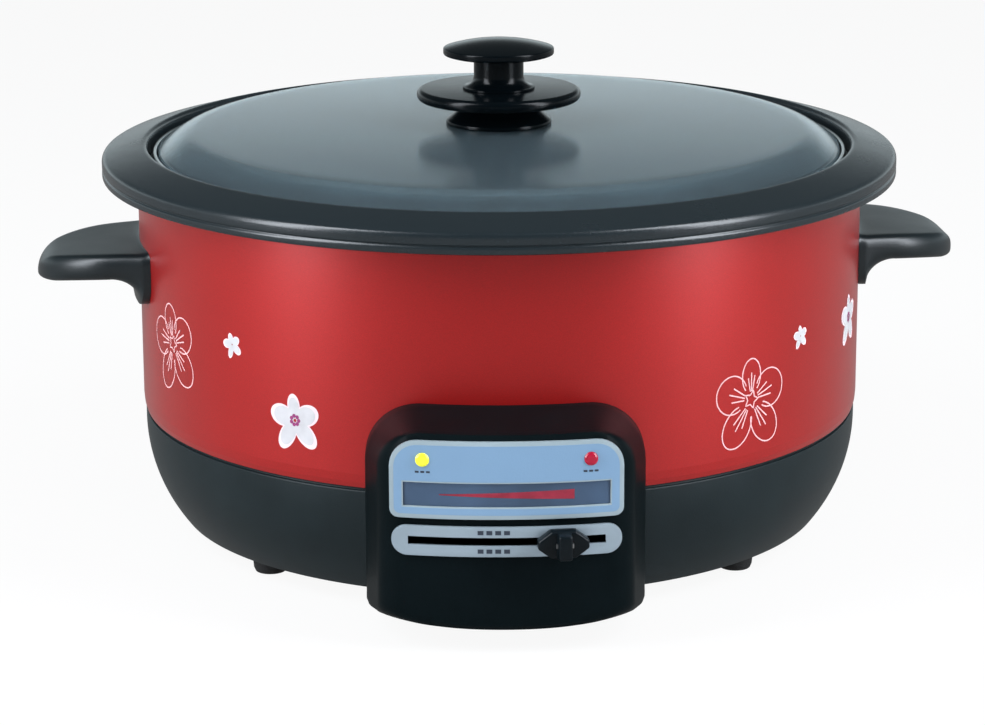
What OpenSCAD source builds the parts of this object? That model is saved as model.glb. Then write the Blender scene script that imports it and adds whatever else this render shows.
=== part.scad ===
// Electric multicooker: removable pan and glass lid on a round heated body with a slide control.
// Millimetres. The origin is on the table under the pot's axis, +Z is up and the controls face -Y.

/* [Pan] */
// Height of the rim's crest above the table
rim_h = 144.4; // [130:0.2:170]
// Radius of the recess in the rim that takes the lid
seat_r = 132.8; // [118:0.2:145]
// Width of the rim outside that recess
rim_w = 17.2; // [12:0.2:22]
// Fall of the rim from its crest to its lip
rim_drop = 3.2; // [2:0.2:6]
// Depth of the recess that takes the lid
seat_depth = 3.6; // [2.5:0.1:5]
// Width of the ledge that the lid stands on
ledge_w = 6; // [4:0.2:9]
// Thickness of the pan's metal
pan_t = 2.2; // [1.5:0.1:3]
// Draft of the pan's wall from floor to ledge
pan_draft = 8; // [2:0.5:14]
// Inside radius of the corner between floor and wall
pan_corner_r = 16; // [8:1:24]

/* [Lid] */
// Gap between the lid's band and the recess
lid_gap = 2; // [1:0.1:4]
// Width of the steel band round the glass
band_w = 3.5; // [2.5:0.1:5]
// Thickness of the band's metal
band_t = 0.6; // [0.4:0.1:1]
// Thickness of the glass
glass_t = 3; // [2.5:0.1:5]
// Rise of the glass from its edge to its middle
dome_rise = 9.4; // [6:0.2:20]
// Distance of the steam vent from the pot's axis
vent_y = 62; // [45:1:80]
// Radius of the steam vent's hole
vent_r = 2.2; // [1.5:0.1:3]

/* [Knob] */
// Radius of the knob's cap
cap_r = 20.9; // [16:0.1:26]
// Height of the knob's cap from its lower edge to its crown
cap_h = 6.6; // [5:0.1:9]
// Radius of the knob's stem
stem_r = 9.4; // [7.5:0.1:11]
// Height of the knob's stem
stem_h = 12; // [10:0.2:18]
// Radius of the flare at the foot of the stem
flare_r = 13.6; // [11.5:0.1:16]
// Radius of the guard disc under the knob
guard_r = 31; // [26:0.5:40]
// Thickness of the guard disc
guard_t = 4.4; // [3.6:0.1:6]
// Radius of the flared seat on the glass
knob_seat_r = 20; // [17:0.2:25]
// Height of the flared seat
knob_seat_h = 8.8; // [7:0.2:14]
// Radius of the knob screw's shank
knob_screw_r = 2; // [1.5:0.1:2.5]

/* [Body] */
// Gap between the pan's wall and the liner
pan_gap = 2; // [1:0.1:4]
// Thickness of the liner's sheet metal
liner_t = 0.8; // [0.5:0.1:1.2]
// Air gap between the liner and the shell
air_gap = 4.1; // [3.6:0.1:8]
// Thickness of the shell's sheet metal
shell_t = 0.9; // [0.6:0.1:1.2]
// Height from the shell's upper edge to the rim's crest
shell_sink = 8.4; // [8:0.1:12]
// Height of the seam between the shell and the base
seam_h = 49.4; // [44:0.2:54]
// Height of the shadow gap at the seam
seam_gap = 1.2; // [0.6:0.1:2]
// How far the shell's lower edge turns in
shell_tuck = 0.8; // [0.4:0.1:1]
// How far the base's upper edge stands out past the shell
base_proud = 0.5; // [0.2:0.1:1]
// Radius of the curve of the base's side
base_curve_r = 61; // [54:1:80]
// Wall of the moulded base
base_wall = 2.6; // [2:0.1:3.5]
// Width of the base's flat ring underneath
base_ring_w = 34; // [30:1:40]
// Height of the feet
foot_h = 7; // [5:0.5:12]
// Radius of a foot
foot_r = 6.8; // [5:0.2:9]
// Angle of the front feet from the front
foot_angle = 50; // [40:1:65]
// Thickness of the bottom cover
cover_t = 1; // [0.8:0.1:1.5]

/* [Handles] */
// Reach of a handle from the shell
handle_reach = 37.5; // [30:0.5:48]
// Half of a handle's width at the shell
handle_hw = 32; // [26:0.5:38]
// Thickness of a handle's ear
handle_t = 9.6; // [8:0.2:14]
// Fall of the ear from the shell to its tip
handle_droop = 7; // [0:0.5:9]
// Rounding of the ear's edges
handle_edge_r = 2.4; // [1.5:0.1:3.5]
// Depth of the ear's upper face below the shell's upper edge
handle_drop = 23.2; // [18:0.2:30]
// Height of the flange that lies on the shell
flange_h = 26; // [22:0.5:34]
// Thickness of that flange
flange_t = 4.5; // [3:0.1:6]
// Turn of the pair of handles from square to the controls, in degrees
handle_turn = 5; // [0:0.2:8]
// Half of the distance between the two screws of a handle
handle_screw_y = 16; // [12:0.5:17]

/* [Control box] */
// Reach of the box's front face from the shell
box_reach = 29; // [26:0.5:36]
// Half of the box's width at its front
box_front_hw = 42.5; // [40.5:0.5:48]
// Half of the box's width where it meets the shell
box_back_hw = 50.5; // [48:0.5:58]
// Height of the box's top at its front
box_front_h = 79.6; // [79:0.2:82]
// Height of the box's top at the shell
box_back_h = 82.4; // [82:0.2:90]
// Upper corner radius of the box at its front
box_front_corner = 12; // [8:0.5:16]
// Upper corner radius of the box at the shell
box_back_corner = 20; // [14:0.5:26]
// Rounding of the box's upright edges
box_edge_r = 6; // [4:0.5:9]
// Wall of the box
box_wall = 2.4; // [1.8:0.1:3]
// Radius of the rounded chin under the box in plan
chin_r = 50; // [46:0.5:58]
// How far the chin's lower edge lies behind the front face
chin_inset = 3.8; // [2:0.2:8]
// Height of the chin's rounding
chin_h = 16; // [8:0.5:20]
// Height of the box's underside above the bottom of the base
box_lift = 1; // [0:0.2:3]

/* [Control panel] */
// Thickness of the panel plate and the slide track plate
plate_t = 1.2; // [0.8:0.1:2]
// Width of the panel plate
panel_w = 79.9; // [76:0.1:80.5]
// Height of the panel plate
panel_h = 29.4; // [28:0.2:30]
// Height of the panel plate's lower edge above the table
panel_z = 48.9; // [48:0.1:49.5]
// Upper corner radius of the panel plate
panel_corner = 9.6; // [6:0.2:12]
// Lower corner radius of the panel plate
panel_foot_corner = 3; // [1:0.2:5]
// Width of the scale window
window_w = 70.6; // [60:0.2:72]
// Height of the scale window
window_h = 10; // [8:0.2:11]
// Height of the window's lower edge above the panel plate's
window_lift = 4.3; // [3:0.1:5]
// Half of the distance between the lamps
lamp_x = 28.6; // [20:0.2:30]
// Height of the lamps above the panel plate's lower edge
lamp_lift = 20.8; // [19:0.1:22]
// Radius of a lamp's lens
lamp_r = 2.4; // [1.8:0.1:3]
// Width of the slide track plate
track_w = 78.8; // [74:0.2:80]
// Height of the slide track plate
track_h = 10.6; // [9:0.1:12]
// Height of the slide track's middle above the table
track_z = 40.9; // [40:0.1:41.5]
// Length of the slot in the slide track
slot_w = 67.5; // [60:0.2:68]
// Height of the slot in the slide track
slot_h = 3; // [2.6:0.1:4]

/* [Slider] */
// Width of the slider knob
slider_w = 17.7; // [12:0.1:20]
// Height of the slider knob
slider_h = 9.6; // [8:0.1:11]
// Reach of the slider knob from the slide track
slider_reach = 9.5; // [8:0.1:12]
// Distance of the slider knob at rest from the middle of its slot
slider_rest_x = 19; // [-25:0.5:25]
// Thickness of the lever's strip
lever_t = 1.6; // [1.2:0.1:2]
// Width of the lever's strip
lever_w = 9; // [7:0.5:11]
// Width of the lever's neck in the slot
neck_w = 6; // [4:0.2:6.5]
// Radius of the thermostat's shaft
shaft_r = 3; // [2.5:0.1:4]

/* [Heater] */
// Height of the heater plate's upper face above the table
plate_h = 56; // [54:0.2:62]
// Radius of the heater plate
heater_r = 92; // [86:0.5:98]
// Thickness of the heater plate
heater_t = 6; // [5:0.2:9]
// Radius of the heating element's ring
element_r = 50; // [46:0.5:58]
// Radius of the heating element's tube
element_tube_r = 3.5; // [2.8:0.1:4]
// Radius of the sensor can
sensor_r = 13; // [10:0.2:15]
// Height of the sensor can
sensor_h = 12; // [10:0.2:13]
// Height of the sensor's guide
guide_h = 14.4; // [13.4:0.2:16]
// Turns of the sensor's spring
spring_turns = 5; // [3:1:6]

/* [Power inlet] */
// Width of the inlet's recess
inlet_w = 24; // [22:0.2:28]
// Height of the inlet's recess
inlet_h = 16; // [14:0.2:17]
// Depth of the inlet's recess
inlet_depth = 17; // [14:0.5:20]
// Height of the inlet's middle above the bottom of the base
inlet_lift = 20; // [19:0.2:23]

/* [Hidden] */
$fn = 96;
eps = 0.01;
// Reach of a cutter past the face that it opens
cut = 1;
// Clearance of a screw or stem in its hole
fit = 0.1;
// Running clearance of a shaft in its bush
run_fit = 0.05;
// Clearance between curved faces
curve_gap = 0.3;

// Pan and shell, from the lid's recess outwards
ledge_z = rim_h - seat_depth;
mouth_r = seat_r - ledge_w;
pan_wall_r = mouth_r + pan_t;
rim_r = seat_r + rim_w;
lip_z = rim_h - rim_drop;
pan_floor_r = mouth_r - pan_draft - pan_corner_r;
liner_r = pan_wall_r + pan_gap;
shell_r = liner_r + liner_t + air_gap + shell_t;
shell_top = rim_h - shell_sink;
shell_in_r = shell_r - shell_t;
shell_foot = seam_h + seam_gap;
tuck_h = 5;

// Lid
band_r = seat_r - lid_gap;
glass_r = band_r - band_t - fit;
glass_z = ledge_z + band_t;
dome_r = (glass_r * glass_r + dome_rise * dome_rise) / (2 * dome_rise);
apex_z = glass_z + glass_t + dome_rise;
band_rise = (glass_r * glass_r - pow(band_r - band_w, 2)) / (2 * dome_r);
band_top = glass_z + glass_t + band_rise + 2 * fit + band_t;
guard_z = apex_z + knob_seat_h;
stem_z = guard_z + guard_t;
cap_z = stem_z + stem_h;
gasket_r = 9;
gasket_t = 1.2;
gasket_z = apex_z - glass_t - gasket_t - gasket_r * gasket_r / (2 * dome_r) - fit;
washer_r = 8;
washer_t = 1;
// Room of the knob's screw in the glass
screw_room = 1;
knob_bore_h = stem_h - 2;

// Base
base_r = shell_r + base_proud;
base_curve_drop = 3.4;
base_curve_z = seam_h - base_curve_drop;
base_curve_x = base_r - base_curve_r;
base_bottom_r = base_curve_x + sqrt(pow(base_curve_r, 2) - pow(base_curve_z - foot_h, 2));
base_floor = foot_h + base_wall;
spigot_r = shell_in_r - shell_tuck - fit;
spigot_h = 8;
spigot_t = 2;
spigot_root = 6;
base_mouth_r = base_bottom_r - base_ring_w;
foot_inset = 11.2;
foot_circle_r = base_bottom_r - foot_inset;
cover_lap = 8;
cover_sink = 0.2;
cover_z = foot_h + cover_sink;
cover_r = base_mouth_r + cover_lap;
cover_boss_r = 4;
cover_boss_h = 8;
cover_bolt_circle_r = base_mouth_r + cover_lap / 2;
cover_screw_angles = [60, 180, 300];
// Shank radii of the screws and the feet's stems
cover_bolt_r = 1.5;
handle_bolt_r = 1.6;
housing_bolt_r = 1.5;
heater_bolt_r = 1.9;
foot_stem_r = 2.5;
foot_angles = [foot_angle, -foot_angle, 180 - foot_angle, foot_angle - 180];

// Heater stack, downwards from the pan
heater_under = plate_h - heater_t;
spacer_h = 4.2;
liner_floor = heater_under - spacer_h;
element_room = 16;
liner_mouth_r = element_r + element_room;
spacer_circle_r = (liner_mouth_r + heater_r) / 2;
spacer_angles = [30, 150, 270];
guide_r = sensor_r + curve_gap;
guide_t = 1.5;
guide_floor = heater_under - guide_h;
bracket_t = 1.2;
bracket_gap = 0.2;
bracket_z = guide_floor - bracket_t - bracket_gap;
bracket_x = guide_r + guide_t + 10;
thermostat_h = 11;
thermostat_r = 11;
wire_hole_r = 3;
thermostat_z = bracket_z - thermostat_h;
bush_h = 2.6;
bush_z = thermostat_z - bush_h;
can_t = 1;
spring_r = sensor_r - 4;
spring_wire_r = 0.6;
spring_low = guide_floor + guide_t + spring_wire_r;
spring_high = plate_h - can_t - spring_wire_r;
spring_sides = 6;
spring_steps = 12;
spring_pitch = (spring_high - spring_low) / spring_turns;

// Control box and slider
front_r = shell_r + box_reach;
// The plates of the panel lie this far off the box's face
plate_gap = 0.1;
plate_r = front_r + plate_gap;
track_r = plate_r + plate_t;
housing_head_r = 2.8;
housing_boss_r = 4;
housing_screw_x = box_front_hw - box_wall - housing_boss_r;
housing_screw_z = seam_h + spigot_h + housing_head_r + 1.8;
housing_screw_len = box_reach * 0.41;
// Gap between the box and the pot
box_gap = 0.15;
box_bottom = foot_h + box_lift;
chin_y = front_r - chin_inset - chin_r;
rest_angle = asin(slider_rest_x / track_r);
slot_angle = asin(slot_w / 2 / track_r) + 1.5;
hub_r = 8;
hub_h = 4.6;
hub_drop = 1.6;
lever_z = foot_h + cover_t + hub_h;
hub_z = lever_z - hub_drop;
lever_rise_r = shell_r + 10;
lever_end_r = track_r + slider_reach - 3.5;
// Depths in front of the axis between which the box's face is cut
face_in = front_r - 20;
face_out = front_r + 5;

// Handles
ear_top = shell_top - handle_drop;
ear_bottom = ear_top - handle_t;
flange_rise = 1;
flange_top = ear_top + flange_rise;
flange_low = flange_top - flange_h;
handle_screw_z = (ear_top + ear_bottom) / 2;
handle_screw_len = 12;
// Shares of the ear's reach at which its sections stand, and the chords of their roundings
ear_shares = [-0.25, 0, 0.2, 0.35, 0.5, 0.62, 0.73, 0.82, 0.89, 0.94, 0.975, 0.995];
ear_arc = 3;

// Inlet
inlet_z = foot_h + inlet_lift;
inlet_wall = 2.5;
inlet_y = base_r - 1.3;
inlet_flange = 2;
inlet_flange_t = 1.5;
pin_pitch = 7;
pin_offset = 2;
pin_w = 4;
pin_t = 2;
pin_tip_room = 5;
pin_tail = 8;
inlet_back_t = 3;

// Points of an arc, from angle a0 to a1
function arc(cx, cy, r, a0, a1, n = 8) =
    [for (i = [0:n]) let (a = a0 + (a1 - a0) * i / n) [cx + r * cos(a), cy + r * sin(a)]];

// Turns a piece from the front (-Y) by an angle, positive to the right
module at_front(angle) { rotate([0, 0, angle]) children(); }

// Extrudes a shape drawn in front view, x across and y up, between two distances in front of the axis
module frontal(from, to) {
    translate([0, -from, 0]) rotate([90, 0, 0]) linear_extrude(to - from) children();
}

// Rounded rectangle standing on y = 0, with its own radius above and below
module rounded_plate(w, h, top_r, foot_r) {
    difference() {
        translate([-w / 2, 0]) square([w, h]);
        for (s = [-1, 1]) {
            corner_cut([s * w / 2, h], [s, 1], top_r);
            corner_cut([s * w / 2, 0], [s, -1], foot_r);
        }
    }
}

// Waste outside the rounding of one corner of a rectangle
module corner_cut(corner, side, r) {
    translate(corner) difference() {
        translate([side[0] > 0 ? -r : -eps, side[1] > 0 ? -r : -eps]) square(r + eps);
        translate([-side[0] * r, -side[1] * r]) circle(r);
    }
}

// Slot with round ends
module stadium(w, h) {
    square([w - h, h], center = true);
    for (s = [-1, 1]) translate([s * (w - h) / 2, 0]) circle(h / 2);
}

// Ring of a plate bent round the pot's axis, cut to a shape drawn in front view
module bent_plate(r, t) {
    intersection() {
        difference() {
            cylinder(r = r + t, h = 2 * rim_h);
            translate([0, 0, -cut]) cylinder(r = r, h = 2 * (rim_h + cut));
        }
        frontal(r / 2, r + 2 * t) children();
    }
}

// Lid, built on the pot's axis
module glass_form(lift) {
    translate([0, 0, apex_z - glass_t + lift - dome_r]) sphere(dome_r, $fn = 200);
}

module lid_glass() {
    h = glass_t + dome_rise;
    color([0.62, 0.7, 0.73, 0.5]) difference() {
        intersection() {
            glass_form(glass_t);
            translate([0, 0, glass_z]) cylinder(r = glass_r, h = h + cut);
        }
        glass_form(0);
        translate([0, 0, glass_z - cut]) {
            cylinder(r = knob_screw_r + screw_room, h = h + 2 * cut);
            translate([0, vent_y, 0]) cylinder(r = vent_r + band_t + fit, h = h + 2 * cut);
        }
    }
}

module lid_band() {
    h = band_top - ledge_z;
    color("silver") difference() {
        translate([0, 0, ledge_z]) cylinder(r = band_r, h = h);
        translate([0, 0, ledge_z - cut]) cylinder(r = band_r - band_w, h = h + 2 * cut);
        translate([0, 0, glass_z]) cylinder(r = band_r - band_t, h = band_top - glass_z - band_t);
    }
}

module steam_vent() {
    drop = (vent_y * vent_y) / (2 * dome_r);
    tilt_room = 2 * vent_r * vent_y / dome_r + fit;
    top = apex_z - drop + tilt_room;
    low = apex_z - glass_t - drop - tilt_room - band_t;
    h = top + band_t - low;
    lip_w = 2.4;
    foot_w = 1.8;
    color("silver") translate([0, vent_y, 0]) difference() {
        union() {
            translate([0, 0, low]) cylinder(r = vent_r + band_t, h = h);
            translate([0, 0, top]) cylinder(r = vent_r + lip_w, h = band_t);
            translate([0, 0, low]) cylinder(r = vent_r + foot_w, h = band_t);
        }
        translate([0, 0, low - cut]) cylinder(r = vent_r, h = h + 2 * cut);
    }
}

module lid_knob() {
    edge_h = 2.6;
    bevel_h = 0.8;
    root_w = 1;
    root_h = 0.8;
    edge_z = cap_z + bevel_h;
    crown_h = cap_h - edge_h - bevel_h;
    crown_r = (cap_r * cap_r + crown_h * crown_h) / (2 * crown_h);
    crown_a = asin(cap_r / crown_r);
    flare_d = flare_r - stem_r;
    color([0.06, 0.06, 0.07]) difference() {
        rotate_extrude() polygon(concat(
            [[0, stem_z], [flare_r, stem_z]],
            arc(flare_r, stem_z + root_h + flare_d, flare_d, 270, 180, 6),
            [[stem_r, cap_z], [stem_r + root_w, cap_z], [cap_r, edge_z]],
            arc(0, cap_z + cap_h - crown_r, crown_r, 90 - crown_a, 90, 6)));
        translate([0, 0, stem_z - cut]) cylinder(r = knob_screw_r + fit, h = knob_bore_h + cut);
    }
}

module knob_guard() {
    edge = guard_t * 0.46;
    color([0.07, 0.07, 0.08]) translate([0, 0, guard_z]) difference() {
        rotate_extrude() polygon(concat([[0, 0]],
            arc(guard_r - edge, edge, edge, 270, 360, 5),
            arc(guard_r - edge, guard_t - edge, edge, 0, 90, 5),
            [[0, guard_t]]));
        translate([0, 0, -cut]) cylinder(r = knob_screw_r + fit, h = guard_t + 2 * cut);
    }
}

module knob_seat() {
    flare = 6;
    edge_h = 1.4;
    steps = 8;
    color([0.07, 0.07, 0.08]) translate([0, 0, apex_z]) difference() {
        rotate_extrude() polygon(concat([[0, 0], [knob_seat_r, 0]],
            [for (i = [0:steps]) let (s = i / steps)
                [knob_seat_r - flare * sin(90 * s), edge_h + (knob_seat_h - edge_h) * s]],
            [[0, knob_seat_h]]));
        translate([0, 0, -cut]) cylinder(r = knob_screw_r + fit, h = knob_seat_h + 2 * cut);
    }
}

module knob_gasket() {
    color([0.75, 0.75, 0.75]) translate([0, 0, gasket_z]) difference() {
        cylinder(r = gasket_r, h = gasket_t);
        translate([0, 0, -cut]) cylinder(r = knob_screw_r + fit, h = gasket_t + 2 * cut);
    }
}

module knob_washer() {
    color("silver") translate([0, 0, gasket_z - washer_t]) difference() {
        cylinder(r = washer_r, h = washer_t);
        translate([0, 0, -cut]) cylinder(r = knob_screw_r + fit, h = washer_t + 2 * cut);
    }
}

module knob_screw() {
    head_z = gasket_z - washer_t;
    head_h = 2.5;
    head_r = 4.4;
    head_bevel = 1;
    tip_room = 1.5;
    shank_h = stem_z + knob_bore_h - tip_room - head_z;
    cross = [5.2, 1, 2.4];
    color("silver") difference() {
        union() {
            translate([0, 0, head_z - head_h]) cylinder(r1 = head_r - head_bevel, r2 = head_r, h = head_h);
            translate([0, 0, head_z]) cylinder(r = knob_screw_r, h = shank_h);
        }
        for (a = [0, 90]) translate([0, 0, head_z - head_h]) rotate([0, 0, a]) cube(cross, center = true);
    }
}

// Pan: one revolved sheet, floor, drafted wall, ledge for the lid and falling rim
module cooking_pan() {
    floor_in = plate_h + pan_t;
    draft_angle = atan(pan_draft / (ledge_z - floor_in - pan_corner_r));
    corner_z = floor_in + pan_corner_r;
    inner_corner = arc(pan_floor_r, corner_z, pan_corner_r, -90, -draft_angle, 10);
    outer_corner = arc(pan_floor_r, corner_z, pan_corner_r + pan_t, -90, -draft_angle, 10);
    crest_r = 1.1;
    under_w = 1;
    inside = concat([[0, floor_in]], inner_corner, [[mouth_r, ledge_z]]);
    rim = concat(
        [[seat_r, ledge_z]],
        arc(seat_r + crest_r, rim_h - crest_r, crest_r, 180, 80, 5),
        arc(rim_r - pan_t / 2, lip_z - pan_t / 2, pan_t / 2, 75, -100, 7)
    );
    outside = concat(
        [[seat_r + pan_t + under_w, rim_h - 1.5 * pan_t], [seat_r + pan_t, ledge_z - pan_t]],
        [[pan_wall_r, ledge_z - pan_t]],
        [for (i = [len(outer_corner) - 1:-1:0]) outer_corner[i]],
        [[0, plate_h]]
    );
    color([0.2, 0.21, 0.22]) rotate_extrude() polygon(concat(inside, rim, outside));
}

// Body sheet metal
module outer_shell() {
    bend_r = 0.8;
    lip_in = liner_r + liner_t + 1;
    tuck_mid = shell_tuck * 0.3;
    tuck_z = shell_foot + tuck_h * 0.4;
    drum_z = shell_foot + tuck_h;
    opening_r = 7;
    opening_z = seam_h + 18;
    color([0.62, 0.1, 0.1]) difference() {
        rotate_extrude() difference() {
            union() {
                polygon([
                    [shell_in_r - shell_tuck, shell_foot], [shell_r - shell_tuck, shell_foot],
                    [shell_r - tuck_mid, tuck_z], [shell_r, drum_z],
                    [shell_in_r, drum_z], [shell_in_r - tuck_mid, tuck_z]
                ]);
                translate([shell_in_r, drum_z]) square([shell_t, shell_top - drum_z]);
                translate([lip_in, shell_top - shell_t]) square([shell_r - lip_in, shell_t]);
            }
            corner_cut([shell_r, shell_top], [1, 1], bend_r);
        }
        handle_screw_holes(handle_bolt_r + fit);
        box_screw_holes(housing_bolt_r + fit);
        frontal(liner_r, shell_r + cut) translate([0, opening_z]) circle(opening_r);
    }
}

module inner_liner() {
    knee = 4;
    fold = liner_t * tan(22.5);
    flange_inset = 1.2;
    flange_r = shell_r - flange_inset;
    under = liner_floor - liner_t;
    color([0.72, 0.73, 0.74]) difference() {
        rotate_extrude() polygon([
            [liner_mouth_r, under], [liner_r - knee + fold, under],
            [liner_r + liner_t, liner_floor + knee - fold], [liner_r + liner_t, shell_top],
            [flange_r, shell_top], [flange_r, shell_top + liner_t],
            [liner_r, shell_top + liner_t], [liner_r, liner_floor + knee], [liner_r - knee, liner_floor],
            [liner_mouth_r, liner_floor]
        ]);
        for (a = spacer_angles) rotate([0, 0, a]) translate([spacer_circle_r, 0, under - cut])
            cylinder(r = heater_bolt_r + fit, h = liner_t + 2 * cut);
    }
}

// Base
module base_profile(inset) {
    top = seam_h + (inset > 0 ? spigot_h : 0);
    intersection() {
        union() {
            square([base_curve_x, top]);
            translate([base_curve_x, base_curve_z]) circle(base_curve_r - inset);
            translate([0, base_curve_z]) square([base_r - inset, top - base_curve_z]);
        }
        translate([0, foot_h + inset]) square([base_r - inset, top - foot_h - inset]);
    }
}

module base_bowl() {
    color([0.13, 0.14, 0.15]) difference() {
        union() {
            rotate_extrude() difference() {
                union() {
                    base_profile(0);
                    translate([spigot_r - spigot_t, seam_h - spigot_root])
                        square([spigot_t, spigot_h + spigot_root]);
                }
                base_profile_inside();
                square([base_mouth_r, seam_h]);
            }
            cover_bolts(base_floor - eps) cylinder(r = cover_boss_r, h = cover_boss_h);
            inlet_surround();
        }
        translate([0, 0, foot_h - cut]) cylinder(r = cover_r + 2 * fit, h = cut + cover_sink + cover_t);
        cover_bolts(foot_h - cut) cylinder(r = cover_bolt_r + fit, h = base_wall + cover_boss_h);
        for (a = foot_angles) at_front(a) translate([0, -foot_circle_r, foot_h - cut])
            cylinder(r = foot_stem_r + fit, h = base_wall + 2 * cut);
        lever_window();
        inlet_cut(inlet_wall + fit, base_mouth_r);
        inlet_cut(inlet_wall + inlet_flange + fit, inlet_y);
    }
}

// Puts a piece at each screw of the bottom cover
module cover_bolts(z) {
    for (a = cover_screw_angles) at_front(a) translate([0, -cover_bolt_circle_r, z]) children();
}

// Hollow of the bowl, kept clear of the spigot's foot
module base_profile_inside() {
    difference() {
        base_profile(base_wall);
        translate([spigot_r - spigot_t, seam_h - spigot_root]) square([base_r, 2 * spigot_h]);
    }
}

// Opening for the inlet from one distance behind the axis outwards
module inlet_cut(room, from) {
    translate([0, from, inlet_z]) rotate([-90, 0, 0]) linear_extrude(base_r - from + cut)
        square([inlet_w + 2 * room, inlet_h + 2 * room], center = true);
}

// Flat pad on the base's back that carries the inlet
module inlet_surround() {
    rim = inlet_wall + 5;
    w = inlet_w + 2 * rim;
    h = inlet_h + 2 * rim;
    depth = 22;
    difference() {
        translate([-w / 2, inlet_y - depth, inlet_z - h / 2]) cube([w, depth, h]);
        rotate_extrude() base_profile_inside();
    }
}

// Arc window in the base's wall that the lever swings in
module lever_window() {
    wall_in = base_bottom_r - base_wall;
    half = slot_angle + asin(lever_w / 2 / wall_in) + 0.6;
    room = 1.2;
    inner = 8;
    depth = 24;
    translate([0, 0, lever_z - room]) rotate([0, 0, -90 - half])
        rotate_extrude(angle = 2 * half) translate([wall_in - inner, 0])
            square([depth, lever_t + 2 * room]);
}

module feet() {
    bevel_w = 0.6;
    bevel_h = 1.5;
    barb_r = foot_stem_r + 0.9;
    barb_tip_r = foot_stem_r - 0.4;
    barb_h = 2.4;
    color([0.1, 0.1, 0.1]) for (a = foot_angles) at_front(a) translate([0, -foot_circle_r, 0]) {
        cylinder(r1 = foot_r - 2 * bevel_w, r2 = foot_r - bevel_w, h = bevel_h);
        translate([0, 0, bevel_h]) cylinder(r1 = foot_r - bevel_w, r2 = foot_r, h = foot_h - bevel_h);
        translate([0, 0, foot_h - eps]) cylinder(r = foot_stem_r, h = base_wall + 2 * eps);
        translate([0, 0, base_floor + eps]) cylinder(r1 = barb_r, r2 = barb_tip_r, h = barb_h);
    }
}

module bottom_cover() {
    slots = 12;
    vent_in = cover_r * 0.37;
    vent_len = cover_r * 0.27;
    vent_w = cover_r * 0.03;
    color([0.6, 0.61, 0.62]) difference() {
        translate([0, 0, cover_z]) cylinder(r = cover_r, h = cover_t);
        cover_bolts(cover_z - cut) cylinder(r = cover_bolt_r + 2 * fit, h = cover_t + 2 * cut);
        for (i = [0:slots - 1]) rotate([0, 0, i * 360 / slots])
            translate([vent_in, -vent_w / 2, cover_z - cut]) cube([vent_len, vent_w, cover_t + 2 * cut]);
    }
}

module cover_screws() {
    head_r = 3;
    head_bevel = 0.6;
    head_h = 1.6;
    color("silver") cover_bolts(cover_z) {
        translate([0, 0, -head_h]) cylinder(r1 = head_r - head_bevel, r2 = head_r, h = head_h);
        cylinder(r = cover_bolt_r, h = base_wall + cover_boss_h * 0.75);
    }
}

// Handles, each drawn with its reach along +X
// Section of the ear at a share of its reach, drawn in by an inset and carried down by an extra depth
function ear_section(share, inset, extra) =
    let (
        u = max(0, share),
        q = sqrt(1 - u * u),
        end = max(0, u - 0.75) / 0.25,
        thin = handle_t * 0.3 * (1 - sqrt(1 - end * end)),
        fall = handle_droop * (1 - q),
        hw = (handle_hw - inset) * q,
        top = ear_top - inset - fall - thin,
        low = ear_bottom - extra - fall + thin,
        r = min(handle_edge_r, 0.45 * hw, 0.45 * (top - low)),
        x = shell_r + (handle_reach - inset) * share
    )
    [for (c = concat(
        arc(hw - r, low + r, r, -90, 0, ear_arc), arc(hw - r, top - r, r, 0, 90, ear_arc),
        arc(r - hw, top - r, r, 90, 180, ear_arc), arc(r - hw, low + r, r, 180, 270, ear_arc)))
        [x, c[0], c[1]]];

// Ear lofted through its sections, from inside the shell to the tip
module ear_form(inset, extra, shares) {
    rings = [for (s = shares) ear_section(s, inset, extra)];
    n = len(rings[0]);
    last = len(rings) - 1;
    sides = [for (i = [0:last - 1], j = [0:n - 1]) let (k = (j + 1) % n, p = i * n)
        each [[p + j, p + n + j, p + k], [p + k, p + n + j, p + n + k]]];
    ends = [[for (j = [0:n - 1]) j], [for (j = [n - 1:-1:0]) last * n + j]];
    polyhedron([for (ring = rings) each ring], concat(sides, ends));
}

module handle_form() {
    fillet_r = 9;
    fillet_x = fillet_r * 0.8;
    fillet_z = ear_bottom - fillet_r + 0.4;
    gusset_w = 2 * handle_hw - 8;
    gusset_low = flange_low + 2;
    flange_w = 2 * handle_hw + 2;
    flange_r = shell_r + flange_t;
    skin = 3;
    rib_t = 2;
    rib_y = handle_hw * 0.3;
    pocket_x = flange_r + fillet_r + rib_t;
    difference() {
        union() {
            ear_form(0, 0, ear_shares);
            intersection() {
                translate([0, 0, flange_low]) cylinder(r = flange_r, h = flange_h);
                rotate([90, 0, 90]) linear_extrude(flange_r) translate([0, flange_low])
                    rounded_plate(flange_w, flange_h, flange_w * 0.09, flange_w * 0.16);
            }
            translate([0, gusset_w / 2, 0]) rotate([90, 0, 0]) linear_extrude(gusset_w) difference() {
                translate([liner_r, gusset_low])
                    square([flange_r - liner_r + fillet_x, ear_bottom + cut - gusset_low]);
                translate([flange_r + fillet_x, fillet_z]) circle(fillet_r);
                translate([flange_r + fillet_x - fillet_r, 0]) square([fillet_r * 2, fillet_z]);
            }
        }
        cylinder(r = shell_r + box_gap, h = rim_h, $fn = 200);
        difference() {
            ear_form(skin, handle_t, ear_shares);
            translate([0, -handle_hw, 0]) cube([pocket_x, 2 * handle_hw, rim_h]);
            for (s = [-1, 1]) translate([shell_r, s * rib_y - rib_t / 2, 0])
                cube([handle_reach, rib_t, rim_h]);
        }
        handle_bolts() cylinder(r = handle_bolt_r + fit, h = shell_r + handle_screw_len);
    }
}

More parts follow.
